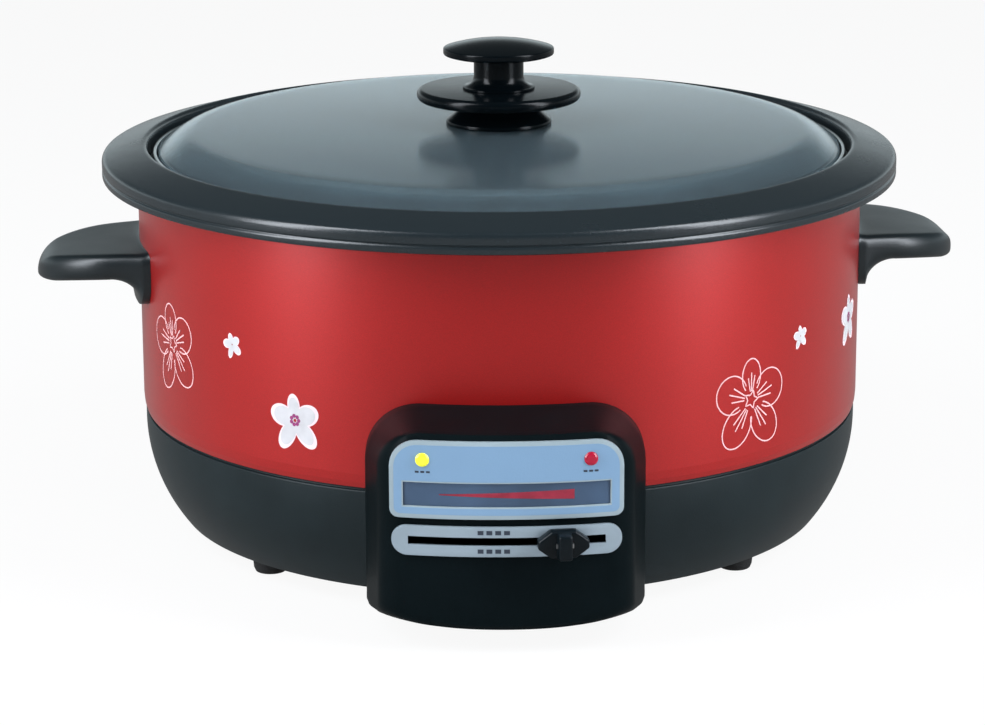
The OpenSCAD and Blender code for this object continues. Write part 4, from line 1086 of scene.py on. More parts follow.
    def line_print(self, blossom: Blossom) -> None:
        """Blossom drawn in lines: open petals, veins and a star at the heart."""
        tree = self.tree_for(blossom, "lines")
        start, sweep = math.radians(-52), math.radians(284)
        bow = tree.put("GeometryNodeCurveArc", {"Resolution": 40, "Radius": 1.0, "Start Angle": start,
                                                "Sweep Angle": sweep})
        strokes = [tree.placed(bow, Translation=(0, 0.58, 0), Scale=(1, 0.42, 1))]
        for side, far in ((-1, 0.54), (0, 0.66), (1, 0.58)):
            ends = {"Start": (0.12 * side, 0.2, 0), "End": (0.36 * side, far, 0)}
            strokes.append(tree.put("GeometryNodeCurvePrimitiveLine", ends))
        reach = tree.size("Reach")
        star = tree.put("GeometryNodeCurveStar", {"Points": self.petals,
                                                  "Inner Radius": tree.math("MULTIPLY", reach, 0.10),
                                                  "Outer Radius": tree.math("MULTIPLY", reach, 0.19)})
        lines = tree.join(self.petal_ring(tree, tree.join(*strokes)), star)
        nib = tree.put("GeometryNodeCurvePrimitiveQuadrilateral", {
            "Width": tree.size("Line"), "Height": 0.03 * MM,
        })
        fine = tree.put("GeometryNodeResampleCurve", {"Curve": lines, "Count": 40})
        ribbon = tree.put("GeometryNodeCurveToMesh", {"Curve": fine, "Profile Curve": nib, "Fill Caps": True})
        mesh = tree.grow(self.onto_drum(tree, ribbon), PINK_INK)
        piece(f"print_{blossom.name}", mesh, Body.HOUSING, "shell_paint", PINK_INK)

    @staticmethod
    def disc(tree: ShapeTree, radius: object, vertices: int) -> Socket:
        """Flat round disc."""
        return tree.put("GeometryNodeMeshCircle", {"Vertices": vertices, "Radius": radius},
                        fill_type="TRIANGLE_FAN")

    def full_print(self, blossom: Blossom) -> None:
        """Blossom printed solid with a blush edge, and a dotted heart on the larger ones."""
        layers = (("edge", 1.0, 0.0, BLUSH_INK), ("inside", self.inside_share, 0.05 * MM, WHITE_INK))
        for part, share, lift, finish in layers:
            tree = self.tree_for(blossom, part)
            petal = tree.placed(self.disc(tree, 1.0, 40), Translation=(0, 0.53, lift), Scale=(1, 0.47, 1))
            petals = self.petal_ring(tree, petal, share, self.full_slim)
            mesh = tree.grow(self.onto_drum(tree, petals), finish)
            piece(f"print_{blossom.name}_{part}", mesh, Body.HOUSING, "shell_paint", finish)
        if blossom.reach > self.heart_from:
            self.heart(blossom)

    def heart(self, blossom: Blossom) -> None:
        """Ring of dots at the heart of a blossom."""
        tree = self.tree_for(blossom, "heart")
        ring_r, dot_r = (tree.math("MULTIPLY", tree.size("Reach"), share) for share in (0.14, 0.065))
        ring = tree.put("GeometryNodeMeshCircle", {"Vertices": self.heart_dots, "Radius": ring_r})
        dots = tree.placed(tree.repeated(ring, self.disc(tree, dot_r, 12)), Translation=(0, 0, 0.11 * MM))
        mesh = tree.grow(self.onto_drum(tree, dots), MAGENTA_INK)
        piece(f"print_heart_{blossom.name}", mesh, Body.HOUSING, "shell_paint", MAGENTA_INK)


@dataclass
class Base:
    """Moulded base with its bottom cover, screws, feet and power inlet."""

    curve_r: float = 59.0 * MM
    curve_drop: float = 3.4 * MM
    step: float = 1.2 * MM
    wall: float = 2.6 * MM
    ring_w: float = 34.0 * MM
    spigot_t: float = 2.0 * MM
    spigot_h: float = 8.0 * MM
    spigot_gap: float = 1.8 * MM
    seam_h: float = 47.0 * MM
    cover_lap: float = 8.0 * MM
    cover_t: float = 1.2 * MM
    slots: int = 12
    slot_start: float = 0.37
    slot_long: float = 0.27
    slot_wide: float = 0.03
    screw_angles: tuple[float, ...] = (60, 180, 300)
    foot_r: float = 6.8 * MM
    foot_circle: float = 112.0 * MM
    foot_angles: tuple[float, ...] = (50, -50, 130, -130)
    inlet_flange: float = 2.0 * MM
    inlet_flange_t: float = 1.5 * MM
    inlet_rim: float = 3.0 * MM
    lever_near: float = 108.0 * MM
    lever_far: float = 139.0 * MM
    lever_swing: float = 16.0
    lever_foot: float = 1.6 * MM
    lever_t: float = 1.6 * MM
    lever_room: float = 1.2 * MM

    def build(self) -> None:
        """Makes every piece of the base."""
        self.bowl()
        self.cover()
        self.screws()
        self.feet()
        dress("power_inlet", INLET_PLASTIC)
        dress("inlet_pins", BRASS)

    def bowl(self) -> None:
        """Bowl with a spigot for the shell, a flat ring below, and openings for the lever and the inlet."""
        box = Extent.of("base_bowl")
        foot, seam, r = box.low.z, self.seam_h, box.high.x - self.step
        level = seam - self.curve_drop
        centre = (r - self.curve_r, level)
        low_angle = -math.degrees(math.asin((level - foot) / self.curve_r))
        in_r = self.curve_r - self.wall
        in_angle = -math.degrees(math.asin((level - foot - self.wall) / in_r))
        spigot_r = Extent.of("outer_shell").radius - self.spigot_gap
        back_r, spigot_top = spigot_r - self.spigot_t, seam + self.spigot_h
        mouth = centre[0] + self.curve_r * math.cos(math.radians(low_angle)) - self.ring_w
        lap, ledge = mouth + self.cover_lap, foot + self.cover_t
        outside = arc(centre, self.curve_r, low_angle, 0, 40)
        inside = arc(centre, in_r, 0, in_angle, 40)
        top = fillet([
            outside[-1] + (0,), (r, seam, 0.7 * MM), (spigot_r, seam, 0.4 * MM),
            (spigot_r, spigot_top, 0.5 * MM), (back_r, spigot_top, 0.5 * MM), (back_r, seam - 5 * MM, 0),
            inside[0] + (0,),
        ], closed=False)
        below = fillet([
            inside[-1] + (0,), (mouth, foot + self.wall, 0.3 * MM), (mouth, ledge, 0), (lap, ledge, 0),
            (lap, foot, 0.3 * MM), outside[0] + (0,),
        ], closed=False)
        mesh = revolve("bowl", outside[1:-1] + top[:-1] + inside + below[1:], segments=FINE)
        mesh = self.open_for_lever(self.open_for_inlet(mesh))
        piece("base_shell", mesh, Body.HOUSING, "base_plastic", BASE_PLASTIC, "base_bowl")

    def open_for_inlet(self, mesh: Mesh) -> Mesh:
        """Adds the flat pad behind the bowl and cuts the inlet's opening into it."""
        inlet = Extent.of("power_inlet")
        left, right, low, high = inlet.low.x, inlet.high.x, inlet.low.z, inlet.high.z
        face = inlet.high.y - self.inlet_flange_t
        rim, flange, room = self.inlet_rim, self.inlet_flange, 0.1 * MM
        root, clear, through = face - 12 * MM, face + 9 * MM, face - 30 * MM
        pad = block("pad", (left - rim, root, low - rim), (right + rim, face, high + rim))
        mesh = combined(mesh, with_modifiers(pad, bevel(1.2 * MM)), "UNION")
        recess = block("recess", (left - room, face, low - room), (right + room, clear, high + room))
        hole = block("hole", (left + flange - room, through, low + flange - room),
                     (right - flange + room, face + 1 * MM, high - flange + room))
        return combined(combined(mesh, recess), hole)

    def open_for_lever(self, mesh: Mesh) -> Mesh:
        """Cuts the arc window that the slide lever swings in."""
        strip_z = Extent.of("slide_lever").low.z + self.lever_foot
        low, high = strip_z - self.lever_room, strip_z + self.lever_t + self.lever_room
        near, far = self.lever_near, self.lever_far
        loop = (near, low), (far, low), (far, high), (near, high)
        window = arc((0, 0), 1.0, -90 - self.lever_swing, -90 + self.lever_swing, 24)
        rows = [[Vector((x * r, y * r, z)) for r, z in loop] for x, y in window]
        return combined(mesh, sweep_rows("window", rows, round_row=True, ends=True))

    def cover(self) -> None:
        """Pressed bottom cover with a ring of vent slots, which the tree cuts."""
        low, high, r = Extent.of("bottom_cover").turned
        edge = 0.3 * MM
        corners = [(0, low, 0), (r, low, edge), (r, high, edge), (0, high, 0)]
        plate = revolve("cover", fillet(corners, closed=False), closed=False)
        tree = ShapeTree("cover_slots", Inner=r * self.slot_start, Length=r * self.slot_long,
                         Width=r * self.slot_wide, Level=(low + high) / 2)
        size = tree.vector(tree.size("Length"), tree.size("Width"), 8 * MM)
        out = tree.math("ADD", tree.size("Inner"), tree.math("MULTIPLY", tree.size("Length"), 0.5))
        slot = tree.placed(tree.put("GeometryNodeMeshCube", {"Size": size}),
                           Translation=tree.vector(out, z=tree.size("Level")))
        row, turn = tree.ring(self.slots)
        cut = tree.cut(tree.points, tree.repeated(row, slot, Rotation=tree.vector(z=turn)))
        mesh = tree.grow(cut, LINER_STEEL, plate)
        piece("vented_cover", mesh, Body.HOUSING, "liner_steel", LINER_STEEL, "bottom_cover")

    @staticmethod
    def spots(circle: float, angles: Sequence[float], height: float) -> Mesh:
        """Points on a circle about the pot's axis, at angles from its front."""
        turns = [math.radians(a) for a in angles]
        return cloud([(circle * math.sin(a), -circle * math.cos(a), height) for a in turns])

    def screws(self) -> None:
        """Cross-head screws of the bottom cover, set by a tree on their circle."""
        box = Extent.of("cover_screws")
        cover = Extent.of("bottom_cover")
        places = self.spots(cover.radius - self.cover_lap / 2, self.screw_angles, cover.low.z)
        tree = ShapeTree("cover_screws", Head=3 * MM, Sunk=cover.low.z - box.low.z, Shank=1.5 * MM,
                         Length=box.high.z - cover.low.z)
        sunk = tree.vector(z=tree.math("MULTIPLY", tree.size("Sunk"), -1.0))
        foot_r = tree.math("MULTIPLY", tree.size("Head"), 0.78)
        head = tree.placed(tree.put("GeometryNodeMeshCone", {
            "Vertices": 32, "Radius Top": tree.size("Head"), "Radius Bottom": foot_r,
            "Depth": tree.size("Sunk"),
        }), Translation=sunk)
        long, thin, deep = 3.4 * MM, 0.7 * MM, 1.6 * MM
        for size in ((long, thin, deep), (thin, long, deep)):
            bar = tree.put("GeometryNodeMeshCube", {"Size": size})
            head = tree.cut(head, tree.placed(bar, Translation=sunk))
        half = tree.math("MULTIPLY", tree.size("Length"), 0.5)
        shank = tree.placed(tree.put("GeometryNodeMeshCylinder", {
            "Vertices": 24, "Radius": tree.size("Shank"), "Depth": tree.size("Length"),
        }), Translation=tree.vector(z=half))
        mesh = tree.grow(tree.repeated(tree.points, tree.join(head, shank)), SCREW_STEEL, places)
        piece("cover_screw_set", mesh, Body.HOUSING, "fastener_steel", SCREW_STEEL, "cover_screws")

    def feet(self) -> None:
        """Four rubber feet, one turned foot set at each place by a tree."""
        r, stand, top = self.foot_r, Extent.of("base_bowl").low.z, Extent.of("feet").high.z
        neck, barb = 2.5 * MM, stand + 2.6 * MM
        outline = fillet([
            (0, 0, 0), (r - 1.2 * MM, 0, 0.5 * MM), (r - 0.5 * MM, 1.6 * MM, 1 * MM), (r, stand, 0.3 * MM),
            (neck, stand, 0), (neck, barb, 0), (3.4 * MM, barb, 0.3 * MM), (2.1 * MM, top, 0.4 * MM),
            (0, top, 0),
        ], closed=False)
        foot = bpy.data.objects.new("foot_pattern", revolve("foot", outline, closed=False, segments=48))
        tree = ShapeTree("feet_places")
        pattern = tree.add("GeometryNodeObjectInfo", {"Object": foot}).outputs["Geometry"]
        places = self.spots(self.foot_circle, self.foot_angles, 0)
        mesh = tree.grow(tree.repeated(tree.points, pattern), RUBBER, places)
        piece("rubber_feet", mesh, Body.HOUSING, "foot_rubber", RUBBER, "feet")
        bpy.data.objects.remove(foot)


@dataclass
class Handles:
    """Pair of drooping half-round ears with flanges that lie on the shell."""

    turn: float = 5.0
    reach: float = 38.5 * MM
    half_w: float = 32.0 * MM
    thickness: float = 9.6 * MM
    droop: float = 7.0 * MM
    edge_r: float = 4.4 * MM
    flange_t: float = 4.5 * MM
    flange_h: float = 21.0 * MM
    flange_rise: float = 1.0 * MM
    flange_corner: float = 8.0 * MM
    root_r: float = 9.0 * MM
    skin: float = 3.0 * MM
    rib_t: float = 2.0 * MM
    rib_at: float = 0.3
    tip_from: float = 0.8
    tip_thin: float = 0.45
    tip_stop: float = 0.985
    blend: float = 18.0 * MM
    across: int = 24

    def __post_init__(self) -> None:
        """Takes the places that the frame gives."""
        self.shell_r = Extent.of("outer_shell").radius
        self.flange_top = Extent.of("right_handle").high.z

    def build(self) -> None:
        """Makes both handles from one form."""
        for side, angle in (("left", 180 + self.turn), ("right", self.turn)):
            mesh = moved(self.form(), Matrix.Rotation(math.radians(angle), 4, "Z"))
            piece(f"{side}_ear", mesh, Body.HOUSING, "handle_plastic", HANDLE_PLASTIC, f"{side}_handle")

    def ear(self, share: float, inset: float = 0.0) -> tuple[float, float, float]:
        """Section of the ear at a share of its reach.

        Args:
            share: nought at the shell, one at the tip.
            inset: depth of the wanted skin below the ear's own.

        Returns:
            Half of the width, the height of the underside and that of the top.
        """
        bow = math.sqrt(max(0.0, 1 - share**2))
        end = max(0.0, share - self.tip_from) / (1 - self.tip_from)
        thin = self.tip_thin * self.thickness * (1 - math.sqrt(max(0.0, 1 - end**2)))
        top = self.flange_top - self.flange_rise - self.droop * (1 - bow)
        return (self.half_w - inset) * bow, top - self.thickness + thin, top - inset - thin

    def form(self) -> Mesh:
        """One handle, reaching along +X, with the pocket under it.

        Returns:
            The mesh, a closed solid.
        """
        rows = []
        for s in self.stations():
            half, low, top = self.ear(s / self.reach)
            root = max(0.0, 1 - max(0.0, s - self.flange_t * 0.6) / self.root_r)
            drop = (low - self.flange_top + self.flange_h) * (1 - math.sqrt(1 - root**2))
            rise = self.flange_rise * (1 - math.sqrt(1 - max(0.0, 1 - s / self.flange_t) ** 2))
            half += 1 * MM * root**2
            rows.append(self.section(s, half, low - drop, top + rise, self.flange_corner * root))
        return combined(sweep_rows("handle", rows, round_row=True, ends=True), self.pocket())

    def pocket(self) -> Mesh:
        """Hollow under the ear, parted by two ribs."""
        reach = self.reach - self.skin
        start = (self.flange_t + self.root_r + self.rib_t) / reach
        first, steps = math.asin(start), 24
        turns = [first + (math.pi / 2 - first) * i / steps * self.tip_stop for i in range(steps + 1)]
        rows = []
        for share in (math.sin(turn) for turn in turns):
            half, low, top = self.ear(share, self.skin)
            deep, edge = low - self.thickness, 1 * MM
            loop = fillet([(half, deep, 0), (half, top, edge), (-half, top, edge), (-half, deep, 0)], steps=4)
            rows.append([Vector((self.shell_r + reach * share, y, z)) for y, z in loop])
        hollow = sweep_rows("pocket", rows, round_row=True, ends=True)
        for side in (-1, 1):
            y = side * self.rib_at * self.half_w
            low, high = self.flange_top - 3 * self.thickness, self.flange_top + 1 * MM
            near = (self.shell_r, y - self.rib_t / 2, low)
            far = (self.shell_r + self.reach, y + self.rib_t / 2, high)
            hollow = combined(hollow, block("rib", near, far))
        return hollow

    def stations(self) -> list[float]:
        """Distances from the shell at which the sections stand."""
        first, last, steps, ease = 0.1 * MM, self.root_r + 5 * MM, 20, 1.4
        near = [first + last * (i / steps) ** ease for i in range(steps + 1)]
        start, end, steps = math.asin(near[-1] / self.reach), math.pi / 2 * self.tip_stop, 30
        return near + [self.reach * math.sin(start + (end - start) * i / steps) for i in range(1, steps + 1)]

    def section(self, s: float, half: float, low: float, top: float, foot: float) -> list[Vector]:
        """Rounded section of the handle at one distance from the shell.

        Args:
            s: distance from the shell.
            half: half of the section's width.
            low: height of its underside.
            top: height of its upper face.
            foot: extra rounding of the lower corners.

        Returns:
            The points round the section.
        """
        edge = min(self.edge_r, 0.48 * (top - low), 0.48 * half)
        corners = [(half, low, edge + foot), (half, top, edge), (-half, top, edge), (-half, low, edge + foot)]
        loop = self.even(fillet(corners, steps=8), half)
        settled = min(1.0, s / self.blend)
        keep = 1 - settled * settled * (3 - 2 * settled)
        points = []
        for y, z in loop:
            sag = self.shell_r - math.sqrt(self.shell_r**2 - y * y)
            points.append(Vector((self.shell_r + s - sag * keep, y, z)))
        return points

    def even(self, loop: list[Point], half: float) -> list[Point]:
        """The loop with extra points along its upper and lower faces, so that it can follow the shell."""
        out: list[Point] = []
        for here, there in zip(loop, loop[1:] + loop[:1]):
            out.append(here)
            span = there[0] - here[0]
            if abs(span) > half:
                out += [(here[0] + span * i / self.across, here[1]) for i in range(1, self.across)]
        return out


@dataclass
class ControlBox:
    """Moulded control housing: an arch that tapers forwards to a bent face, with a rounded chin."""

    front_hw: float = 41.2 * MM
    back_hw: float = 48.8 * MM
    front_h: float = 78.0 * MM
    back_h: float = 80.8 * MM
    front_corner: float = 12.0 * MM
    back_corner: float = 20.0 * MM
    side_edge: float = 6.0 * MM
    top_edge: float = 1.8 * MM
    wall: float = 2.4 * MM
    reach: float = 29.0 * MM
    chin_r: float = 50.0 * MM
    chin_inset: float = 3.8 * MM
    chin_h: float = 16.0 * MM
    chin_edge: float = 2.5 * MM
    chin_swell: float = 0.4
    heart_depth: float = 122.0 * MM
    heart_z: float = 44.0 * MM
    back_gap: float = 0.2 * MM
    face_edge: float = 1.2 * MM
    around: int = 220
    side_rings: int = 22
    side_ease: float = 0.75
    face_rings: int = 26
    face_ease: float = 1.3
    face_from: float = 0.05
    back_from: float = 0.3
    back_to: float = math.radians(150)
    slot_w: float = 67.5 * MM
    slot_h: float = 3.0 * MM

    def __post_init__(self) -> None:
        """Takes the places that the frame gives."""
        box = Extent.of("control_housing")
        self.shell_r = Extent.of("outer_shell").radius
        self.front_r = self.shell_r + self.reach
        self.low = box.low.z
        self.base_r = Extent.of("base_bowl").high.x

    def build(self) -> None:
        """Makes the housing with its slot."""
        outer, inner = self.skin(0.0), self.skin(self.wall)
        mesh = sweep_rows("box", inner[::-1] + outer, round_row=True)
        z = Extent.of("slide_track").middle.z
        half, room = self.slot_w / 2 + 1 * MM, self.slot_h / 2 + 0.4 * MM
        face = -self.front_r
        slot = block("slot", (-half, face - 5 * MM, z - room), (half, face + 12 * MM, z + room))
        piece("box_shell", combined(mesh, slot), Body.HOUSING, "box_plastic", BOX_PLASTIC, "control_housing")

    def pot_radius(self, z: np.ndarray) -> np.ndarray:
        """Radius of the pot behind the box at each height."""
        bowl = Base()
        level = bowl.seam_h - bowl.curve_drop
        drop = np.clip(level - z, 0, bowl.curve_r)
        base = self.base_r - bowl.step - bowl.curve_r + np.sqrt(bowl.curve_r**2 - drop**2)
        return np.where(z > bowl.seam_h, self.shell_r, base)

    def mix(self, depth: np.ndarray, back: float, front: float) -> np.ndarray:
        """A size that is even behind the shell and changes evenly from there to the front."""
        return back + (front - back) * np.maximum(depth - self.shell_r, 0) / self.reach

    def outside(self, x: np.ndarray, depth: np.ndarray, z: np.ndarray) -> np.ndarray:
        """How far points lie outside the box's form, below zero inside it.

        Args:
            x: place across the box.
            depth: distance in front of the pot's axis.
            z: height.

        Returns:
            The distances.
        """
        half = self.mix(depth, self.back_hw, self.front_hw)
        top = self.mix(depth, self.back_h, self.front_h)
        corner = self.mix(depth, self.back_corner, self.front_corner)
        across, above = np.abs(x) - (half - corner), z - (top - corner)
        both = (across > 0) & (above > 0)
        far = np.hypot(across, above)
        arch = np.where(both, far, np.maximum(across, above)) - corner
        lean = np.where(both, across / np.maximum(far, 1e-9), (across > above) * 1.0)
        front = np.hypot(x, depth) - self.front_r
        edge = self.top_edge + (self.side_edge - self.top_edge) * lean**2
        body = self.rounded(arch, front, edge)
        lift = np.clip((z - self.low) / self.chin_h, 0, 1)
        chin = np.hypot(x, depth - (self.front_r - self.chin_inset - self.chin_r))
        chin -= self.chin_r + self.chin_swell * self.front_hw * np.sqrt(1 - (1 - lift) ** 2)
        body = self.rounded(body, chin, np.full_like(x, self.chin_edge))
        return self.rounded(body, self.low - z, np.full_like(x, self.chin_edge))

    @staticmethod
    def rounded(first: np.ndarray, second: np.ndarray, edge: np.ndarray) -> np.ndarray:
        """Distance to what two forms share, with a rounded edge between them."""
        u, v = np.maximum(first + edge, 0), np.maximum(second + edge, 0)
        return np.minimum(np.maximum(first, second), -edge) + np.hypot(u, v)

    def cast(self, turn: np.ndarray, lean: np.ndarray, inset: float) -> np.ndarray:
        """Points where rays from the box's heart leave its form.

        Args:
            turn: angle of each ray round the line to the front.
            lean: angle of each ray from that line.
            inset: depth of the wanted skin below the form's own.

        Returns:
            The points: across, depth and height.
        """
        way = np.stack([np.sin(lean) * np.sin(turn), np.cos(lean), np.sin(lean) * np.cos(turn)])
        start = np.array([0.0, self.heart_depth, self.heart_z]).reshape((3,) + (1,) * turn.ndim)

        def inside(reach: np.ndarray) -> np.ndarray:
            """Whether the rays are still inside the form at these reaches."""
            return self.outside(*(start + way * reach)) < -inset

        return start + way * last_held(inside, np.zeros_like(turn), np.full_like(turn, 120 * MM), 44)

    def skin(self, inset: float) -> list[list[Vector]]:
        """Rings of points from the box's back edge to the middle of its face.

        Args:
            inset: depth of the skin below the outer form.

        Returns:
            The rings, the last of them at one point.
        """
        turn = np.linspace(0, 2 * math.pi, self.around, endpoint=False)

        def before_pot(lean: np.ndarray) -> np.ndarray:
            """Whether the skin lies outside the pot."""
            x, depth, z = self.cast(turn, lean, inset)
            return np.hypot(x, depth) > self.pot_radius(z) - self.back_gap

        def on_face(lean: np.ndarray) -> np.ndarray:
            """Whether the skin lies on the bent face."""
            x, depth, _ = self.cast(turn, lean, inset)
            return np.hypot(x, depth) - self.front_r > -inset - self.face_edge

        back = last_held(before_pot, np.full_like(turn, self.back_from), np.full_like(turn, self.back_to))
        edge = last_held(on_face, np.full_like(turn, self.face_from), back)
        sides, faces = np.linspace(0, 1, self.side_rings), np.linspace(0, 1, self.face_rings)[1:]
        leans = [back + (edge - back) * share**self.side_ease for share in sides]
        leans += [edge * (1 - share) ** self.face_ease for share in faces]
        rings = []
        for lean in leans:
            x, depth, z = self.cast(turn, lean, inset)
            rings.append([Vector((a, -b, c)) for a, b, c in zip(x, depth, z)])
        return rings


@dataclass
class Panel:
    """Printed fascia with its window and lamps, and the slide track below it."""

    plate_t: float = 1.2 * MM
    corner: float = 9.6 * MM
    foot_corner: float = 3.0 * MM
    border: float = 1.5 * MM
    print_t: float = 0.08 * MM
    frame_w: float = 0.6 * MM
    window_t: float = 0.7 * MM
    lamp_r: float = 2.4 * MM
    lamp_dome: float = 0.8 * MM
    slot_w: float = ControlBox.slot_w
    slot_h: float = ControlBox.slot_h
    top_trim: float = 2.0 * MM
    window_trim: float = 1.6 * MM
    wedge_w: float = 46.0 * MM
    wedge_h: float = 3.4 * MM
    wedge_start: float = 0.1
    dash: Point = (1.3 * MM, 0.7 * MM)
    dash_step: float = 1.9 * MM
    dash_drop: float = 4.3 * MM
    tick: Point = (2.0 * MM, 1.5 * MM)
    tick_places: tuple[float, ...] = (-9.0 * MM, -6.0 * MM, -3.0 * MM, 0.0)
    tick_rise: float = 3.3 * MM

    def build(self) -> None:
        """Makes the plates, the window, the lamps and the marks."""
        self.fascia()
        self.window()
        self.track()
        self.lamp("warm_lamp", "warm_lens", YELLOW_LENS)
        self.lamp("heat_lamp", "heat_lens", RED_LENS)
        self.lamp_marks()
        self.track_ticks()

    @staticmethod
    def bent(name: str, columns: Sequence[Strip], inner_r: float, outer_r: float, rows: int = 6) -> Mesh:
        """A plate bent round the pot's axis.

        Args:
            name: name of the mesh.
            columns: place across, lower end and upper end of each upright strip.
            inner_r: radius of the back.
            outer_r: radius of the face.
            rows: number of steps up each strip.

        Returns:
            The mesh, a closed solid.
        """
        grid = []
        for x, low, high in columns:
            heights = [low + (high - low) * i / rows for i in range(rows + 1)]
            face = [Vector((x, -math.sqrt(outer_r**2 - x * x), z)) for z in heights]
            back = [Vector((x, -math.sqrt(inner_r**2 - x * x), z)) for z in reversed(heights)]
            grid.append(face + back)
        return sweep_rows(name, grid, round_row=True, ends=True)

    @staticmethod
    def rounded_columns(half: float, low: float, high: float, foot_r: float, top_r: float,
                        count: int = 40) -> list[Strip]:
        """Upright strips that fill a rectangle with rounded corners.

        Args:
            half: half of its width.
            low: height of its lower edge.
            high: height of its upper edge.
            foot_r: radius of the lower corners.
            top_r: radius of the upper corners.
            count: number of strips.

        Returns:
            Place across, lower end and upper end of each strip.
        """
        columns = []
        for i in range(count + 1):
            x = half * math.sin(math.pi / 2 * (2 * i / count - 1))
            cut = []
            for r in (foot_r, top_r):
                past = max(0.0, abs(x) - (half - r))
                cut.append(r - math.sqrt(max(0.0, r * r - past * past)))
            columns.append((x, low + cut[0], high - cut[1]))
        return columns

    def window_top(self) -> float:
        """Height of the upper edge of the window."""
        return Extent.of("scale_window").high.z - self.window_trim

    @staticmethod
    def through(face: float, left: float, right: float, low: float, high: float) -> Mesh:
        """Cutter that goes through a plate whose face has the given radius."""
        ahead, behind = -face - 5 * MM, -face + 14 * MM
        return block("cutter", (left, ahead, low), (right, behind, high))

    def window_hole(self, face: float, room: float) -> Mesh:
        """Cutter for the window, with room on all its sides."""
        window = Extent.of("scale_window")
        sides = window.low.x - room, window.high.x + room
        return self.through(face, *sides, window.low.z - room, self.window_top() + room)

    def fascia(self) -> None:
        """Grey plate with the window cut out, and its blue print."""
        box = Extent.of("panel_plate")
        half, low, face, inset = box.high.x, box.low.z, box.front, self.border
        top = box.high.z - self.top_trim
        columns = self.rounded_columns(half, low, top, self.foot_corner, self.corner)
        plate = self.bent("fascia", columns, face - self.plate_t, face)
        plate = with_modifiers(combined(plate, self.window_hole(face, 0.1 * MM)), bevel(0.3 * MM, 2))
        piece("fascia_plate", plate, Body.HOUSING, "fascia_print", FASCIA_GREY, "panel_plate")
        columns = self.rounded_columns(half - inset, low + inset, top - inset, self.foot_corner - 1 * MM,
                                       self.corner - inset)
        sheet = self.bent("print", columns, face - self.print_t, face + self.print_t)
        sheet = combined(sheet, self.window_hole(face, self.frame_w))
        piece("fascia_print", sheet, Body.HOUSING, "fascia_print", FASCIA_BLUE)

    def window(self) -> None:
        """Smoked scale window with a heat wedge printed on it."""
        box = Extent.of("scale_window")
        face, corner = box.front, 0.3 * MM
        columns = self.rounded_columns(box.high.x, box.low.z, self.window_top(), corner, corner)
        strip = self.bent("window", columns, face - self.window_t, face)
        piece("window_strip", strip, Body.HOUSING, "scale_print", WINDOW_SMOKE, "scale_window")
        middle = (box.low.z + self.window_top()) / 2
        start, steps, first = -self.wedge_w / 2, 24, self.wedge_start
        columns = []
        for i in range(steps + 1):
            half = self.wedge_h / 2 * (first + (1 - first) * i / steps)
            columns.append((start + self.wedge_w * i / steps, middle - half, middle + half))
        wedge = self.bent("wedge", columns, face - 0.02 * MM, face + 0.05 * MM, rows=1)
        piece("heat_wedge", wedge, Body.HOUSING, "scale_print", HEAT_INK)

    def track(self) -> None:
        """Silver plate with round ends and the slot that the slider runs in."""
        box = Extent.of("slide_track")
        face, z = box.front, box.middle.z
        end_r = (box.high.z - box.low.z) / 2 * 0.999
        columns = self.rounded_columns(box.high.x, box.low.z, box.high.z, end_r, end_r, 64)
        half, tall = self.slot_w / 2, self.slot_h / 2
        slot = self.through(face, -half, half, z - tall, z + tall)
        plate = combined(self.bent("track", columns, face - self.plate_t, face), slot)
        plate = with_modifiers(plate, bevel(0.25 * MM, 2))
        piece("track_plate", plate, Body.HOUSING, "track_plate", TRACK_SILVER, "slide_track")

    def lamp(self, node: str, slot: str, finish: Finish) -> None:
        """Domed lens of a lamp.

        Args:
            node: the lamp's CAD node.
            slot: its material slot.
            finish: its lens.
        """
        box = Extent.of(node)
        length, r = box.high.y - box.low.y, self.lamp_r
        outline = fillet([
            (0, -length, 0), (r, -length, 0.2 * MM), (r, -self.lamp_dome, 0.3 * MM),
            (r * 0.72, -0.25 * MM, 0.8 * MM), (0, 0, 0),
        ], closed=False)
        place = Matrix.Translation((box.middle.x, box.low.y, box.middle.z))
        place = place @ Matrix.Rotation(math.pi / 2, 4, "X")
        mesh = moved(revolve(node, outline, closed=False, segments=48), place)
        piece(f"{node}_lens", mesh, Body.HOUSING, slot, finish, node)

    @staticmethod
    def marks(name: str, spots: Sequence[Point], bar: Point, face: float) -> None:
        """Rows of small dark bars that a tree sets on the bent face.

        Args:
            name: name of the piece.
            spots: place across and height of each bar.
            bar: width and height of a bar.
            face: radius of the face.
        """
        tree = ShapeTree(name, Width=bar[0], Tall=bar[1], Face=face)
        flat = tree.put("GeometryNodeMeshGrid", {
            "Size X": tree.size("Width"), "Size Y": tree.size("Tall"), "Vertices X": 7, "Vertices Y": 2,
        })
        row = tree.repeated(tree.points, tree.placed(flat, Rotation=(math.pi / 2, 0, 0)))
        x, _, z = tree.parts(tree.put("GeometryNodeInputPosition"))
        face_square = tree.math("MULTIPLY", tree.size("Face"), tree.size("Face"))
        square = tree.math("SUBTRACT", face_square, tree.math("MULTIPLY", x, x))
        depth = tree.math("MULTIPLY", tree.math("SQRT", square), -1.0)
        bent = tree.put("GeometryNodeSetPosition", {"Geometry": row, "Position": tree.vector(x, depth, z)})
        mesh = tree.grow(bent, DARK_INK, cloud([(across, 0, height) for across, height in spots]))
        piece(name, mesh, Body.HOUSING, "fascia_print", DARK_INK)

    def lamp_marks(self) -> None:
        """Short dashes under the lamps."""
        places = [Extent.of(node).middle for node in ("warm_lamp", "heat_lamp")]
        spots = [(p.x + step * self.dash_step, p.z - self.dash_drop) for p in places for step in (-1, 0, 1)]
        self.marks("lamp_dashes", spots, self.dash, Extent.of("panel_plate").front + 0.12 * MM)

